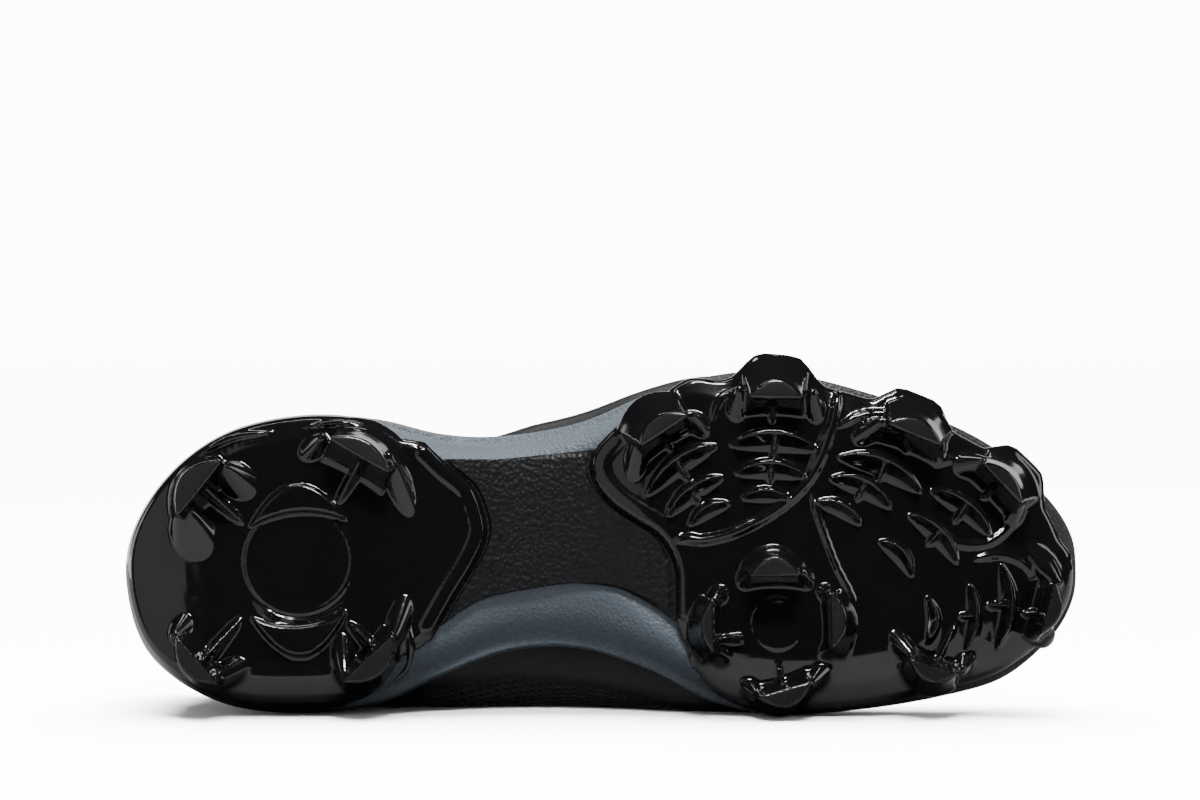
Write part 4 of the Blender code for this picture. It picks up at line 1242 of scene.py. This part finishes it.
class CLEAT_OT_heel_pod(bpy.types.Operator):
    """Glossy heel pod with its four studs"""
    bl_idname = "cleat.heel_pod"
    bl_label = "Heel pod"

    def execute(self, context):
        settings = context.scene.cleat_sole
        mesh = bmesh.new()
        pod_base(mesh, heel_pod_span, heel_pod_edge, heel_pod_centre)
        add_lugs(mesh, True, settings.stud_height)
        turned(mesh, 0.185, 0.0, ((17.3, -1.2), (17.2, 0.1), (16.9, 0.42), (16.3, 0.50), (15.6, 0.28),
                                  (14.0, 0.25), (7.0, 0.25), (1.0, 0.25)))
        for row in heel_ridges:
            lug(mesh, row, row[5], 0.0008, 0.0010, ridge_levels)
        for points, wide, tall in heel_lines:
            line_along(mesh, points, wide, tall)
        edge_lines(mesh, heel_pod_edge, ((0.0036, 1.9, 0.60),))
        finished_pod(mesh, "heel_tread", settings.heel_grain, settings, "heel_gloss", "outsole_heel")
        return {"FINISHED"}


class CLEAT_OT_forefoot_pod(bpy.types.Operator):
    """Glossy forefoot pod with its studs, blades and pivot"""
    bl_idname = "cleat.forefoot_pod"
    bl_label = "Forefoot pod"

    def execute(self, context):
        settings = context.scene.cleat_sole
        mesh = bmesh.new()
        pod_base(mesh, fore_pod_span, fore_pod_edge, fore_pod_centre)
        add_lugs(mesh, False, settings.stud_height)
        turned(mesh, 0.684, -0.183, ((8.6, -1.2), (8.4, 0.05), (7.8, 0.34), (7.2, 0.34), (6.4, 0.12),
                                     (4.6, 0.04), (2.6, 0.03), (0.6, 0.03)))
        for points, wide, tall in fore_lines:
            line_along(mesh, points, wide, tall)
        edge_lines(mesh, fore_pod_edge, ((0.0040, 2.2, 0.55),))
        finished_pod(mesh, "forefoot_tread", settings.fore_grain, settings,
                     "forefoot_gloss", "outsole_forefoot")
        return {"FINISHED"}


class CLEAT_OT_waist_panel(bpy.types.Operator):
    """Grained panel across the waist, with a step round it"""
    bl_idname = "cleat.waist_panel"
    bl_label = "Waist panel"

    def execute(self, context):
        settings = context.scene.cleat_sole

        def scaled(points):
            return [Vector((x * length, side * ball_width)) for x, side in points]

        def spaced(points, share):
            runs = [(b - a).length for a, b in zip(points, points[1:])]
            want = share * sum(runs)
            for a, b, run in zip(points, points[1:], runs):
                if want <= run:
                    return a.lerp(b, want / run)
                want -= run
            return points[-1].copy()

        groove = -0.0003
        heel_line = [p + Vector((groove, 0.0)) for p in curve_through(scaled(heel_pod_edge), 5)]
        heel_line = [p for p in heel_line if -0.20 * ball_width < p.y < 0.30 * ball_width]
        heel_line = [scaled(shank_lateral)[0]] + heel_line + [scaled(shank_medial)[0]]
        fore_line = [p - Vector((groove, 0.0)) for p in curve_through(scaled(fore_pod_edge), 5)[::-1]]
        fore_line = [p for p in fore_line if -0.24 * ball_width < p.y < 0.33 * ball_width]
        top_line = curve_through(scaled(shank_lateral)[:-1] + [fore_line[0]], 8)
        low_line = curve_through(scaled(shank_medial)[:-1] + [fore_line[-1]], 8)
        across = 60
        down = 60

        def panel(u, v):
            edges = (spaced(heel_line, v) * (1 - u) + spaced(fore_line, v) * u
                     + spaced(top_line, u) * (1 - v) + spaced(low_line, u) * v)
            corners = (heel_line[0] * (1 - u) * (1 - v) + heel_line[-1] * (1 - u) * v
                       + fore_line[0] * u * (1 - v) + fore_line[-1] * u * v)
            return edges - corners

        under = []
        over = []
        for i in range(down + 1):
            v = i / down
            low_row = []
            high_row = []
            for j in range(across + 1):
                u = j / across
                plan = panel(u, v)
                rounding = min(min(u, 1 - u) * 60, min(v, 1 - v) * 60)
                drop = 0.0009 if rounding < 1.2 else 0.0005 * max(1.0 - v / 0.30, 0.0) ** 2
                level = tread(plan.x) + plate - seat - 0.0015
                low_row.append(raised(plan, level + drop))
                high_row.append(raised(plan, tread(plan.x) + plate - seat))
            under.append(low_row)
            over.append(high_row)
        mesh = sheet_pair(under, over)
        item = laid(mesh, "waist_panel")
        smooth_faces(item, 50)
        ready(item, grained_panel("panel_grain", settings.panel_colour), "shank", "shank")
        return {"FINISHED"}


class CLEAT_OT_foam(bpy.types.Operator):
    """Foam midsole with its soft rounded wall"""
    bl_idname = "cleat.foam"
    bl_label = "Foam midsole"

    def execute(self, context):
        settings = context.scene.cleat_sole
        steps = 10
        places = [i / steps for i in range(turns * steps)]
        loops = None
        for place in places:
            section = foam_section(place)
            (bevel, under) = section[0]
            lead = Vector((bevel + 0.0040, under))
            knots = [lead] + [Vector(p) for p in section]
            line = curve_through(knots, 4)
            if loops is None:
                loops = [[] for _ in line]
            for loop, spot in zip(loops, line):
                loop.append(raised(rim(place, spot.x)[0], spot.y))
        mesh = bmesh.new()
        verts = skin(mesh, loops, caps=False)
        close_round(mesh, verts[0])
        close_round(mesh, verts[-1])
        item = laid(mesh, "foam_carrier")
        values = []
        for loop in loops:
            for place, point in zip(places, loop):
                lap = min(place, turns - place)
                above = (point.z - tread(point.x)) / foam_colour_lean[0]
                rise = min(max(above, 0.0), foam_colour_lean[1])
                start, outer_end, inner_end = foam_colour_places
                front = outer_end + rise * 0.25 if place < last else inner_end + rise
                values.append(min(lap - (start - rise), front - lap))
        waist = item.data.attributes.new("waist", "FLOAT", "POINT")
        waist.data.foreach_set("value", values)
        smooth_faces(item, 40)
        black_foam = [c * 5.0 for c in settings.gloss_colour]
        ready(item, moulded_foam("foam_skin", settings.foam_colour, black_foam), "foam", "midsole")
        return {"FINISHED"}


class CLEAT_OT_footbed(bpy.types.Operator):
    """Cloth-covered sockliner inside the shoe"""
    bl_idname = "cleat.footbed"
    bl_label = "Footbed"

    def execute(self, context):
        settings = context.scene.cleat_upper
        steps = 5
        places = [i / steps for i in range(turns * steps)]
        margin = upper_inset + upper_wall + 0.0024
        mesh = bmesh.new()
        loops = []
        for inset, rise in ((margin, 0.0), (margin - 0.0002, 0.0020), (margin + 0.0003, 0.0034),
                            (margin + 0.0014, 0.0040), (margin + 0.0050, 0.0039), (margin + 0.0100, 0.0036)):
            loop = []
            for place in places:
                plan = rim(place, inset)[0]
                both = (around(top_knots, place) + around(top_knots, -place)) * 0.5
                base = max(around(top_knots, place), around(top_knots, -place), both) * instep
                loop.append(raised(plan, base + gap + rise))
            loops.append(loop)
        verts = skin(mesh, loops, caps=False)
        close_round(mesh, verts[0])
        close_round(mesh, verts[-1])
        layer = mesh.loops.layers.uv.new("UVMap")
        for face in mesh.faces:
            for loop in face.loops:
                loop[layer].uv = (loop.vert.co.x, loop.vert.co.y)
        item = laid(mesh, "footbed")
        smooth_faces(item, 45)
        ready(item, knit("footbed_cloth", settings.trim_colour, 0.0016), "insole", "insole")
        return {"FINISHED"}


def fuller(place, t):
    """How far the upper swells out beside the waist."""
    x = rim(place)[0].x / length
    if place % turns > last:
        band = eased((x - 0.22) / 0.14) * eased((0.72 - x) / 0.12)
        swell = waist_swell[1] * band * eased(t / 0.22) * eased((0.70 - t) / 0.34)
        here = lay @ upper_point(place, t)
        down = max(-(lay.to_3x3() @ upper_normal(place, t)).z, 0.25)
        return min(swell, max(here.z - 0.0006, 0.0) / down)
    band = eased((x - 0.34) / 0.10) * eased((0.72 - x) / 0.14)
    return waist_swell[0] * band * eased(t / 0.10) * eased((0.60 - t) / 0.30)


def upper_relief(place, t):
    """How far panels and folds stand off the plain upper, and the film share."""
    lap = place % turns
    lap = min(lap, turns - lap)
    toe = eased((lap - 12.2 - t * 3.0) / 1.2)
    counter = eased((5.2 - lap + (0.5 - t) * 2.0) / 0.8) * eased((0.62 - t) / 0.08)
    skirt = eased((0.16 + 0.05 * math.sin(lap * 0.9) - t) / 0.05)
    film = max(toe * eased((0.60 - t) / 0.06), counter, skirt)
    lift = 0.0006 * film + fuller(place, t)
    fold = 0.0
    for middle, rise in ((13.1, 0.62), (13.9, 0.55), (12.4, 0.70)):
        far = abs(lap - middle - (t - rise) * 2.0)
        fold -= 0.0007 * eased(1.0 - far / 0.45) * eased(1.0 - abs(t - rise) / 0.22)
    return lift + fold, film


class CLEAT_OT_upper(bpy.types.Operator):
    """Hollow upper with mesh cloth, pressed film and a lining"""
    bl_idname = "cleat.upper"
    bl_label = "Upper"

    def execute(self, context):
        settings = context.scene.cleat_upper
        steps = 6
        places = [i / steps for i in range(turns * steps)]
        rises = [i / 40 for i in range(41)]
        outer = []
        inner = []
        film_values = []
        for t in rises:
            row = []
            back = []
            for place in places:
                lift, film = upper_relief(place, t)
                normal = upper_normal(place, t)
                point = upper_point(place, t)
                film_values.append(film)
                inside = point - normal * (upper_wall - fuller(place, t))
                point = point + normal * lift * eased(t / 0.04)
                if t == 0.0:
                    inside.z = point.z
                row.append(point)
                back.append(inside)
            outer.append(row)
            inner.append(back)

        def spot(i, j):
            return (j / steps * 0.0175, rises[i] * 0.095)

        mesh = sheet_pair(outer, inner, closed=True, uv=spot, lining=True)
        item = laid(mesh, "upper_shell")
        film = item.data.attributes.new("film", "FLOAT", "POINT")
        count = len(film_values)
        for i, value in enumerate(film_values):
            film.data[i].value = value
            film.data[i + count].value = 0.0
        smooth_faces(item, 50)
        ready(item, [open_mesh("upper_mesh", settings.cloth_colour),
                     knit("lining_cloth", settings.trim_colour, 0.0014)], "upper", "upper")
        return {"FINISHED"}


class CLEAT_OT_facing(bpy.types.Operator):
    """Eyelet facing round the throat with its punched holes"""
    bl_idname = "cleat.facing"
    bl_label = "Eyelet facing"

    def execute(self, context):
        settings = context.scene.cleat_upper
        first, low, high = facing_span
        steps = 6
        count = round((turns - 2 * first) * steps)
        rows = 14
        above = []
        below = []
        for i in range(rows + 1):
            t = low + (high + 0.02 - low) * i / rows
            up_row = []
            down_row = []
            for j in range(count + 1):
                place = first + j / steps
                ends = min(j, count - j) / steps
                start = low + 0.05 * (1.0 - eased(ends / 1.2))
                here = start + (t - low) * (high + 0.02 - start) / (high + 0.02 - low)
                normal = upper_normal(place, here)
                edge = min(i, rows - i) / 2.0
                thick = 0.0011 * (0.55 + 0.45 * eased(edge))
                point = upper_point(place, here)
                up_row.append(point + normal * (seat + thick))
                down_row.append(point + normal * 0.00025)
            above.append(up_row)
            below.append(down_row)

        def spot(i, j):
            return (j / steps * 0.0175, i * 0.0012)

        item = laid(sheet_pair(above, below, uv=spot), "eyelet_facing")
        punch = bmesh.new()
        for row in eyelet_rows:
            for place in (row, turns - row):
                centre = upper_point(place, eyelet_rise)
                normal = upper_normal(place, eyelet_rise)
                side = normal.orthogonal().normalized()
                other = normal.cross(side)
                rings = []
                for lift in (-0.0025, 0.0040):
                    rings.append([centre + normal * lift + (side * math.cos(math.tau * k / 20)
                                  + other * math.sin(math.tau * k / 20)) * 0.0021 for k in range(20)])
                skin(punch, rings)
        tool = laid(punch, "hole_punch")
        change(item, "holes", "BOOLEAN", operation="DIFFERENCE", solver="EXACT", object=tool)
        bpy.data.objects.remove(tool)
        smooth_faces(item, 40)
        ready(item, pressed_hide("facing_hide", settings.trim_colour), "overlay", "eyestay")
        return {"FINISHED"}


class CLEAT_OT_eyelets(bpy.types.Operator):
    """Reinforcing rings round the lace holes"""
    bl_idname = "cleat.eyelets"
    bl_label = "Eyelet rings"

    def execute(self, context):
        settings = context.scene.cleat_upper
        made = []
        for row in eyelet_rows:
            for place in (row, turns - row):
                centre = upper_point(place, eyelet_rise)
                normal = upper_normal(place, eyelet_rise)
                spot = lay @ (centre + normal * 0.0015)
                bpy.ops.object.select_all(action="DESELECT")
                bpy.ops.mesh.primitive_torus_add(major_radius=0.0023, minor_radius=0.00045,
                                                 major_segments=28, minor_segments=8, location=spot)
                ring = bpy.context.active_object
                turn = (lay.to_3x3() @ normal).to_track_quat("Z", "Y")
                ring.rotation_mode = "QUATERNION"
                ring.rotation_quaternion = turn
                made.append(ring)
        bpy.ops.object.select_all(action="DESELECT")
        for ring in made:
            ring.select_set(True)
        bpy.context.view_layer.objects.active = made[0]
        bpy.ops.object.transform_apply(location=True, rotation=True, scale=True)
        bpy.ops.object.join()
        item = bpy.context.active_object
        item.name = "eyelet_rings"
        bpy.ops.object.shade_smooth()
        ready(item, pressed_hide("ring_finish", settings.trim_colour, 0.3), "overlay")
        return {"FINISHED"}


class CLEAT_OT_collar(bpy.types.Operator):
    """Padded collar rolled over the top edge of the upper"""
    bl_idname = "cleat.collar"
    bl_label = "Collar"

    def execute(self, context):
        settings = context.scene.cleat_upper
        steps = 6
        count = round(collar_reach * 2 * steps)
        rings = []
        for j in range(count + 1):
            place = -collar_reach + j / steps
            ends = eased(min(j, count - j) / steps / 1.5)
            puff = 0.35 + 0.65 * ends
            ring = []
            for t, lift in ((0.850, 0.0006), (0.862, 0.0016), (0.890, 0.0022), (0.930, 0.0026),
                            (0.970, 0.0026), (1.000, 0.0020)):
                ring.append(upper_point(place, t) + upper_normal(place, t) * lift * (0.6 + 0.4 * puff))
            top = upper_point(place, 1.0)
            normal = upper_normal(place, 1.0)
            climb = (top - upper_point(place, 0.96)).normalized()
            ring.append(top + climb * 0.0014 + normal * 0.0009)
            ring.append(top + climb * 0.0018 - normal * 0.0012)
            ring.append(top + climb * 0.0010 - normal * 0.0036)
            for t, lift in ((0.96, 0.0052), (0.90, 0.0066), (0.82, 0.0070), (0.72, 0.0060),
                            (0.62, 0.0044), (0.55, 0.0030)):
                deep = upper_wall + (lift - upper_wall) * puff
                ring.append(upper_point(place, t) - upper_normal(place, t) * deep)
            back = [upper_point(place, t) - upper_normal(place, t) * (upper_wall + 0.0003)
                    for t in (0.55, 0.70, 0.84, 0.95)]
            ring.extend(back)
            ring.append(top + climb * 0.0003 - normal * (upper_wall + 0.0002))
            ring.append(top + climb * 0.0004 + normal * 0.0002)
            ring.append(upper_point(place, 0.93) + upper_normal(place, 0.93) * 0.0003)
            rings.append(ring)
        mesh = bmesh.new()
        skin(mesh, rings)
        item = laid(mesh, "collar_roll")
        change(item, "round", "SUBSURF", levels=1, render_levels=1)
        smooth_faces(item, 60)
        ready(item, knit("collar_cloth", settings.trim_colour, 0.0012), "overlay", "collar")
        return {"FINISHED"}


class CLEAT_OT_tongue(bpy.types.Operator):
    """Padded tongue under the laces"""
    bl_idname = "cleat.tongue"
    bl_label = "Tongue"

    def execute(self, context):
        settings = context.scene.cleat_upper
        keys = [row[0] for row in tongue_rows]
        over = []
        under = []
        rows = 54
        for i in range(rows + 1):
            x = keys[0] + (keys[-1] - keys[0]) * i / rows
            middle, half, drop, thick = [along(tongue_rows, c, x) for c in (1, 2, 3, 4)]
            ends = eased(min(i, rows - i) / 3.0)
            cap = 1.0 - min((rows - i) / 9.0, 1.0)
            half *= 0.62 + 0.38 * math.sqrt(1.0 - cap * cap)
            top = []
            bottom = []
            for j in range(25):
                v = j / 12 - 1.0
                plan = Vector((x * length, v * half * ball_width))
                height = middle * instep - drop * ball_width * v * v
                edge = eased((1.0 - abs(v)) / 0.16)
                thin = thick * (1.0 - 0.45 * v * v) * (0.45 + 0.55 * edge) * (0.6 + 0.4 * ends)
                channel = 0.0005 * eased(1.0 - abs(abs(v) - 0.80) / 0.06)
                top.append(raised(plan, height - channel))
                bottom.append(raised(plan, height - thin) + Vector((-thin * 0.35, 0.0, 0.0)))
            over.append(top)
            under.append(bottom)

        def spot(i, j):
            return (j * 0.0017, i * 0.0025)

        item = laid(sheet_pair(over, under, uv=spot), "tongue_pad")
        change(item, "round", "SUBSURF", levels=1, render_levels=1)
        smooth_faces(item, 60)
        ready(item, knit("tongue_cloth", settings.trim_colour, 0.0013), "upper", "tongue")
        return {"FINISHED"}


def lace_path(start, finish, over):
    """Path of one run of lace from hole to hole across the throat."""
    def half(a, b):
        found = []
        for share, t, lift in ((-0.02, eyelet_rise - 0.01, -0.0002), (0.0, eyelet_rise, 0.0014),
                               (0.05, eyelet_rise + 0.025, 0.0029), (0.11, 0.955, 0.0032),
                               (0.18, 1.0, 0.0031)):
            place = a + (turns - b - a) * share * 0.5
            up = upper_normal(place, t)
            found.append((upper_point(place, t) + up * lift, up))
        return found

    left = half(start, finish)
    right = half(finish, start)
    middle = left[-1][0].lerp(right[-1][0], 0.5)
    middle.z += 0.0030 + (0.0010 if over else -0.0006)
    points = left + [(middle, left[-1][1].lerp(right[-1][1], 0.5).normalized())] + right[::-1]
    return points


class CLEAT_OT_laces(bpy.types.Operator):
    """Flat crossed laces that run through the eyelets"""
    bl_idname = "cleat.laces"
    bl_label = "Laces"

    def execute(self, context):
        settings = context.scene.cleat_upper
        runs = []
        for i, (high, low) in enumerate(zip(eyelet_rows, eyelet_rows[1:])):
            runs.append((high, turns - low, i % 2 == 0))
            runs.append((turns - high, low, i % 2 == 1))
        runs.append((eyelet_rows[-1], turns - eyelet_rows[-1], False))
        mesh = bmesh.new()
        layer = mesh.loops.layers.uv.new("UVMap")
        for start, finish, over in runs:
            rough = lace_path(start, finish, over)
            centres = curve_through([p for p, up in rough], 5)
            ups = curve_through([up for p, up in rough], 5)
            rings = []
            travelled = 0.0
            marks = []
            for i, (point, up) in enumerate(zip(centres, ups)):
                ahead = centres[min(i + 1, len(centres) - 1)] - centres[max(i - 1, 0)]
                side = ahead.cross(up).normalized()
                rise = side.cross(ahead).normalized()
                ends = min(i, len(centres) - 1 - i)
                narrow = 0.62 + 0.38 * eased(ends / 8.0)
                thick = settings.lace_thickness * (1.0 + 0.5 * (1.0 - eased(ends / 8.0)))
                ring = []
                for k in range(14):
                    turn = math.tau * k / 14
                    c = math.cos(turn)
                    s = math.sin(turn)
                    wide = math.copysign(abs(c) ** 0.7, c) * settings.lace_width * 0.5 * narrow
                    tall = math.copysign(abs(s) ** 0.7, s) * thick * 0.5
                    ring.append(point + side * wide + rise * tall)
                rings.append(ring)
                marks.append(travelled)
                if i + 1 < len(centres):
                    travelled += (centres[i + 1] - point).length
            verts = skin(mesh, rings)
            index = {v: (n, k) for n, ring in enumerate(verts) for k, v in enumerate(ring)}
            for face in {f for ring in verts for v in ring for f in v.link_faces}:
                ks = [index[loop.vert][1] for loop in face.loops]
                for loop in face.loops:
                    n, k = index[loop.vert]
                    if max(ks) - k > 7:
                        k += 14
                    loop[layer].uv = (k * 0.0009, marks[n])
        item = laid(mesh, "lacing")
        smooth_faces(item, 60)
        ready(item, knit("lace_weave", settings.lace_colour, 0.0012, 0.85), "lace", "laces")
        return {"FINISHED"}


class CLEAT_OT_stitching(bpy.types.Operator):
    """Rows of stitches along the facing and the collar"""
    bl_idname = "cleat.stitching"
    bl_label = "Stitching"

    def execute(self, context):
        settings = context.scene.cleat_upper
        step = settings.stitch_length
        rows = []
        first = facing_span[0] + 0.3
        for t, lift in ((0.822, 0.0017), (0.936, 0.0017)):
            rows.append([(first + i * 0.05, t, lift)
                         for i in range(int((turns - 2 * first) / 0.05) + 1)])
        rows.append([(-6.0 + i * 0.05, 0.868, 0.0022) for i in range(241)])
        mesh = bmesh.new()
        for row in rows:
            points = [(upper_point(p, t) + upper_normal(p, t) * lift, upper_normal(p, t))
                      for p, t, lift in row]
            carried = 0.0
            for (a, up), (b, _) in zip(points, points[1:]):
                carried += (b - a).length
                if carried < step:
                    continue
                carried = 0.0
                ahead = (b - a).normalized()
                side = ahead.cross(up).normalized()
                rings = []
                for reach, size in ((-0.40, 0.3), (-0.30, 0.9), (0.0, 1.0), (0.30, 0.9), (0.40, 0.3)):
                    dip = -0.00022 * (1.0 if abs(reach) > 0.35 else 0.0)
                    angles = [math.tau * k / 6 for k in range(6)]
                    rings.append([a + ahead * step * reach + up * (dip + 0.00022 * size * math.sin(angle))
                                  + side * 0.00028 * size * math.cos(angle) for angle in angles])
                skin(mesh, rings)
        item = laid(mesh, "stitching")
        bpy.ops.object.shade_smooth()
        ready(item, pressed_hide("thread", settings.lace_colour, 0.6), "lace")
        return {"FINISHED"}


# Soft lights beside the overhead one: name, place, aim, width, height, power
lamps = (
    ("front_strip", (0.10, -0.55, 0.95), (0.0, -0.04, 0.05), 0.34, 0.10, 12.0),
    ("left_panel", (-0.78, -1.12, 0.52), (-0.14, -0.02, 0.05), 0.80, 1.00, 1.45),
    ("back_panel", (0.0, 1.5, 0.62), (0.0, 0.0, 0.05), 2.6, 0.6, 8.0),
    ("rim_panel", (-0.7, 1.5, 0.17), (-0.1, 0.0, 0.10), 3.8, 0.30, 9.0),
    ("top_strip", (-0.14, 0.06, 0.9), (-0.14, 0.0, 0.05), 0.5, 0.07, 1.7),
    ("side_panel", (-1.1, 0.2, 0.28), (-0.1, -0.02, 0.05), 0.6, 0.5, 2.0),
    ("right_panel", (1.1, -0.1, 0.5), (0.1, -0.02, 0.05), 0.5, 0.6, 3.0),
)
# Strength and tint of the surroundings as the camera sees them, as they light
# the shoe, and as the glossy plastic reflects them
backdrop = (13.0, (1.0, 1.0, 1.0, 1.0))
surrounding = (0.45, (1.0, 1.0, 1.0, 1.0))
reflected = (0.012, (0.9, 0.95, 1.0, 1.0))
# Camera height over the floor and how far it looks down, in degrees
camera_height = 0.112
camera_dip = 0.67


def soft_light(name, spot, target, wide, tall, power):
    """One soft rectangular light at a spot, turned to a target and unseen itself."""
    bpy.ops.object.select_all(action="DESELECT")
    bpy.ops.object.light_add(type="AREA", location=spot)
    lamp = bpy.context.active_object
    lamp.name = name
    lamp.data.shape = "RECTANGLE"
    lamp.data.size = wide
    lamp.data.size_y = tall
    lamp.data.energy = power
    lamp.visible_camera = False
    lamp.rotation_euler = (Vector(target) - Vector(spot)).to_track_quat("-Z", "Y").to_euler()
    return lamp


class CLEAT_OT_stage(bpy.types.Operator):
    """Plain pale floor, soft lights and the camera"""
    bl_idname = "cleat.stage"
    bl_label = "Stage"

    def execute(self, context):
        settings = context.scene.cleat_stage
        bpy.ops.object.select_all(action="DESELECT")
        bpy.ops.mesh.primitive_plane_add(size=120.0, location=(0.0, 0.0, 0.0))
        floor = bpy.context.active_object
        floor.name = "floor"
        floor.data.materials.append(pale_floor("floor_white", settings.floor_colour))
        overhead = soft_light("overhead", (0.0, 0.10, 1.15), (0.0, -0.02, 0.05), 1.2, 0.7, settings.key_power)
        overhead.visible_glossy = False
        for lamp in lamps:
            soft_light(*lamp)
        bpy.ops.object.light_add(type="SUN", location=(0.0, 0.0, 2.0))
        wash = bpy.context.active_object
        wash.name = "floor_wash"
        wash.data.energy = settings.wash
        wash.data.angle = math.radians(58.0)
        wash.rotation_euler = (math.radians(-26.0), 0.0, 0.0)
        lit = bpy.data.collections.new("lit_by_wash")
        lit.objects.link(floor)
        wash.light_linking.receiver_collection = lit
        world = bpy.context.scene.world or bpy.data.worlds.new("studio")
        bpy.context.scene.world = world
        world.use_nodes = True
        tree = world.node_tree
        tree.nodes.clear()
        out = tree.nodes.new("ShaderNodeOutputWorld")
        sides = []
        for strength, tint in (backdrop, surrounding, reflected):
            side = tree.nodes.new("ShaderNodeBackground")
            side.inputs["Color"].default_value = tint
            side.inputs["Strength"].default_value = strength
            sides.append(side)
        seen, cast, dim = sides
        path = tree.nodes.new("ShaderNodeLightPath")
        shine = tree.nodes.new("ShaderNodeMixShader")
        look = tree.nodes.new("ShaderNodeMixShader")
        tree.links.new(path.outputs["Is Glossy Ray"], shine.inputs[0])
        tree.links.new(cast.outputs[0], shine.inputs[1])
        tree.links.new(dim.outputs[0], shine.inputs[2])
        tree.links.new(path.outputs["Is Camera Ray"], look.inputs[0])
        tree.links.new(shine.outputs[0], look.inputs[1])
        tree.links.new(seen.outputs[0], look.inputs[2])
        tree.links.new(look.outputs[0], out.inputs["Surface"])
        aim = lay @ Vector((0.1482, 0.0, 0.0115))
        bpy.ops.object.camera_add(location=(aim.x, aim.y - settings.distance, camera_height),
                                  rotation=(math.radians(90.0 - camera_dip), 0.0, 0.0))
        camera = bpy.context.active_object
        camera.name = "camera"
        camera.data.lens = settings.lens
        camera.data.sensor_width = 36.0
        bpy.context.scene.camera = camera
        return {"FINISHED"}


class CLEAT_PT_panel(bpy.types.Panel):
    """Lists the sizes, the colours and the steps"""
    bl_idname = "CLEAT_PT_panel"
    bl_label = "Baseball cleat"
    bl_space_type = "VIEW_3D"
    bl_region_type = "UI"
    bl_category = "Cleat"

    def draw(self, context):
        for group in (context.scene.cleat_sole, context.scene.cleat_upper, context.scene.cleat_stage):
            box = self.layout.box()
            for key in group.__annotations__:
                box.prop(group, key)
        for step in steps_in_order:
            self.layout.operator(step.bl_idname)


steps_in_order = (
    CLEAT_OT_heel_pod, CLEAT_OT_forefoot_pod, CLEAT_OT_waist_panel, CLEAT_OT_foam,
    CLEAT_OT_footbed, CLEAT_OT_upper, CLEAT_OT_facing, CLEAT_OT_eyelets, CLEAT_OT_collar,
    CLEAT_OT_tongue, CLEAT_OT_laces, CLEAT_OT_stitching, CLEAT_OT_stage,
)
classes = (SoleSettings, UpperSettings, StageSettings) + steps_in_order + (CLEAT_PT_panel,)


def register():
    for kind in classes:
        bpy.utils.register_class(kind)
    bpy.types.Scene.cleat_sole = bpy.props.PointerProperty(type=SoleSettings)
    bpy.types.Scene.cleat_upper = bpy.props.PointerProperty(type=UpperSettings)
    bpy.types.Scene.cleat_stage = bpy.props.PointerProperty(type=StageSettings)


def unregister():
    del bpy.types.Scene.cleat_stage
    del bpy.types.Scene.cleat_upper
    del bpy.types.Scene.cleat_sole
    for kind in reversed(classes):
        bpy.utils.unregister_class(kind)


def main():
    register()
    bpy.ops.cleat.heel_pod()
    bpy.ops.cleat.forefoot_pod()
    bpy.ops.cleat.waist_panel()
    bpy.ops.cleat.foam()
    bpy.ops.cleat.footbed()
    bpy.ops.cleat.upper()
    bpy.ops.cleat.facing()
    bpy.ops.cleat.eyelets()
    bpy.ops.cleat.collar()
    bpy.ops.cleat.tongue()
    bpy.ops.cleat.laces()
    bpy.ops.cleat.stitching()
    bpy.ops.cleat.stage()


if __name__ == "__main__":
    main()
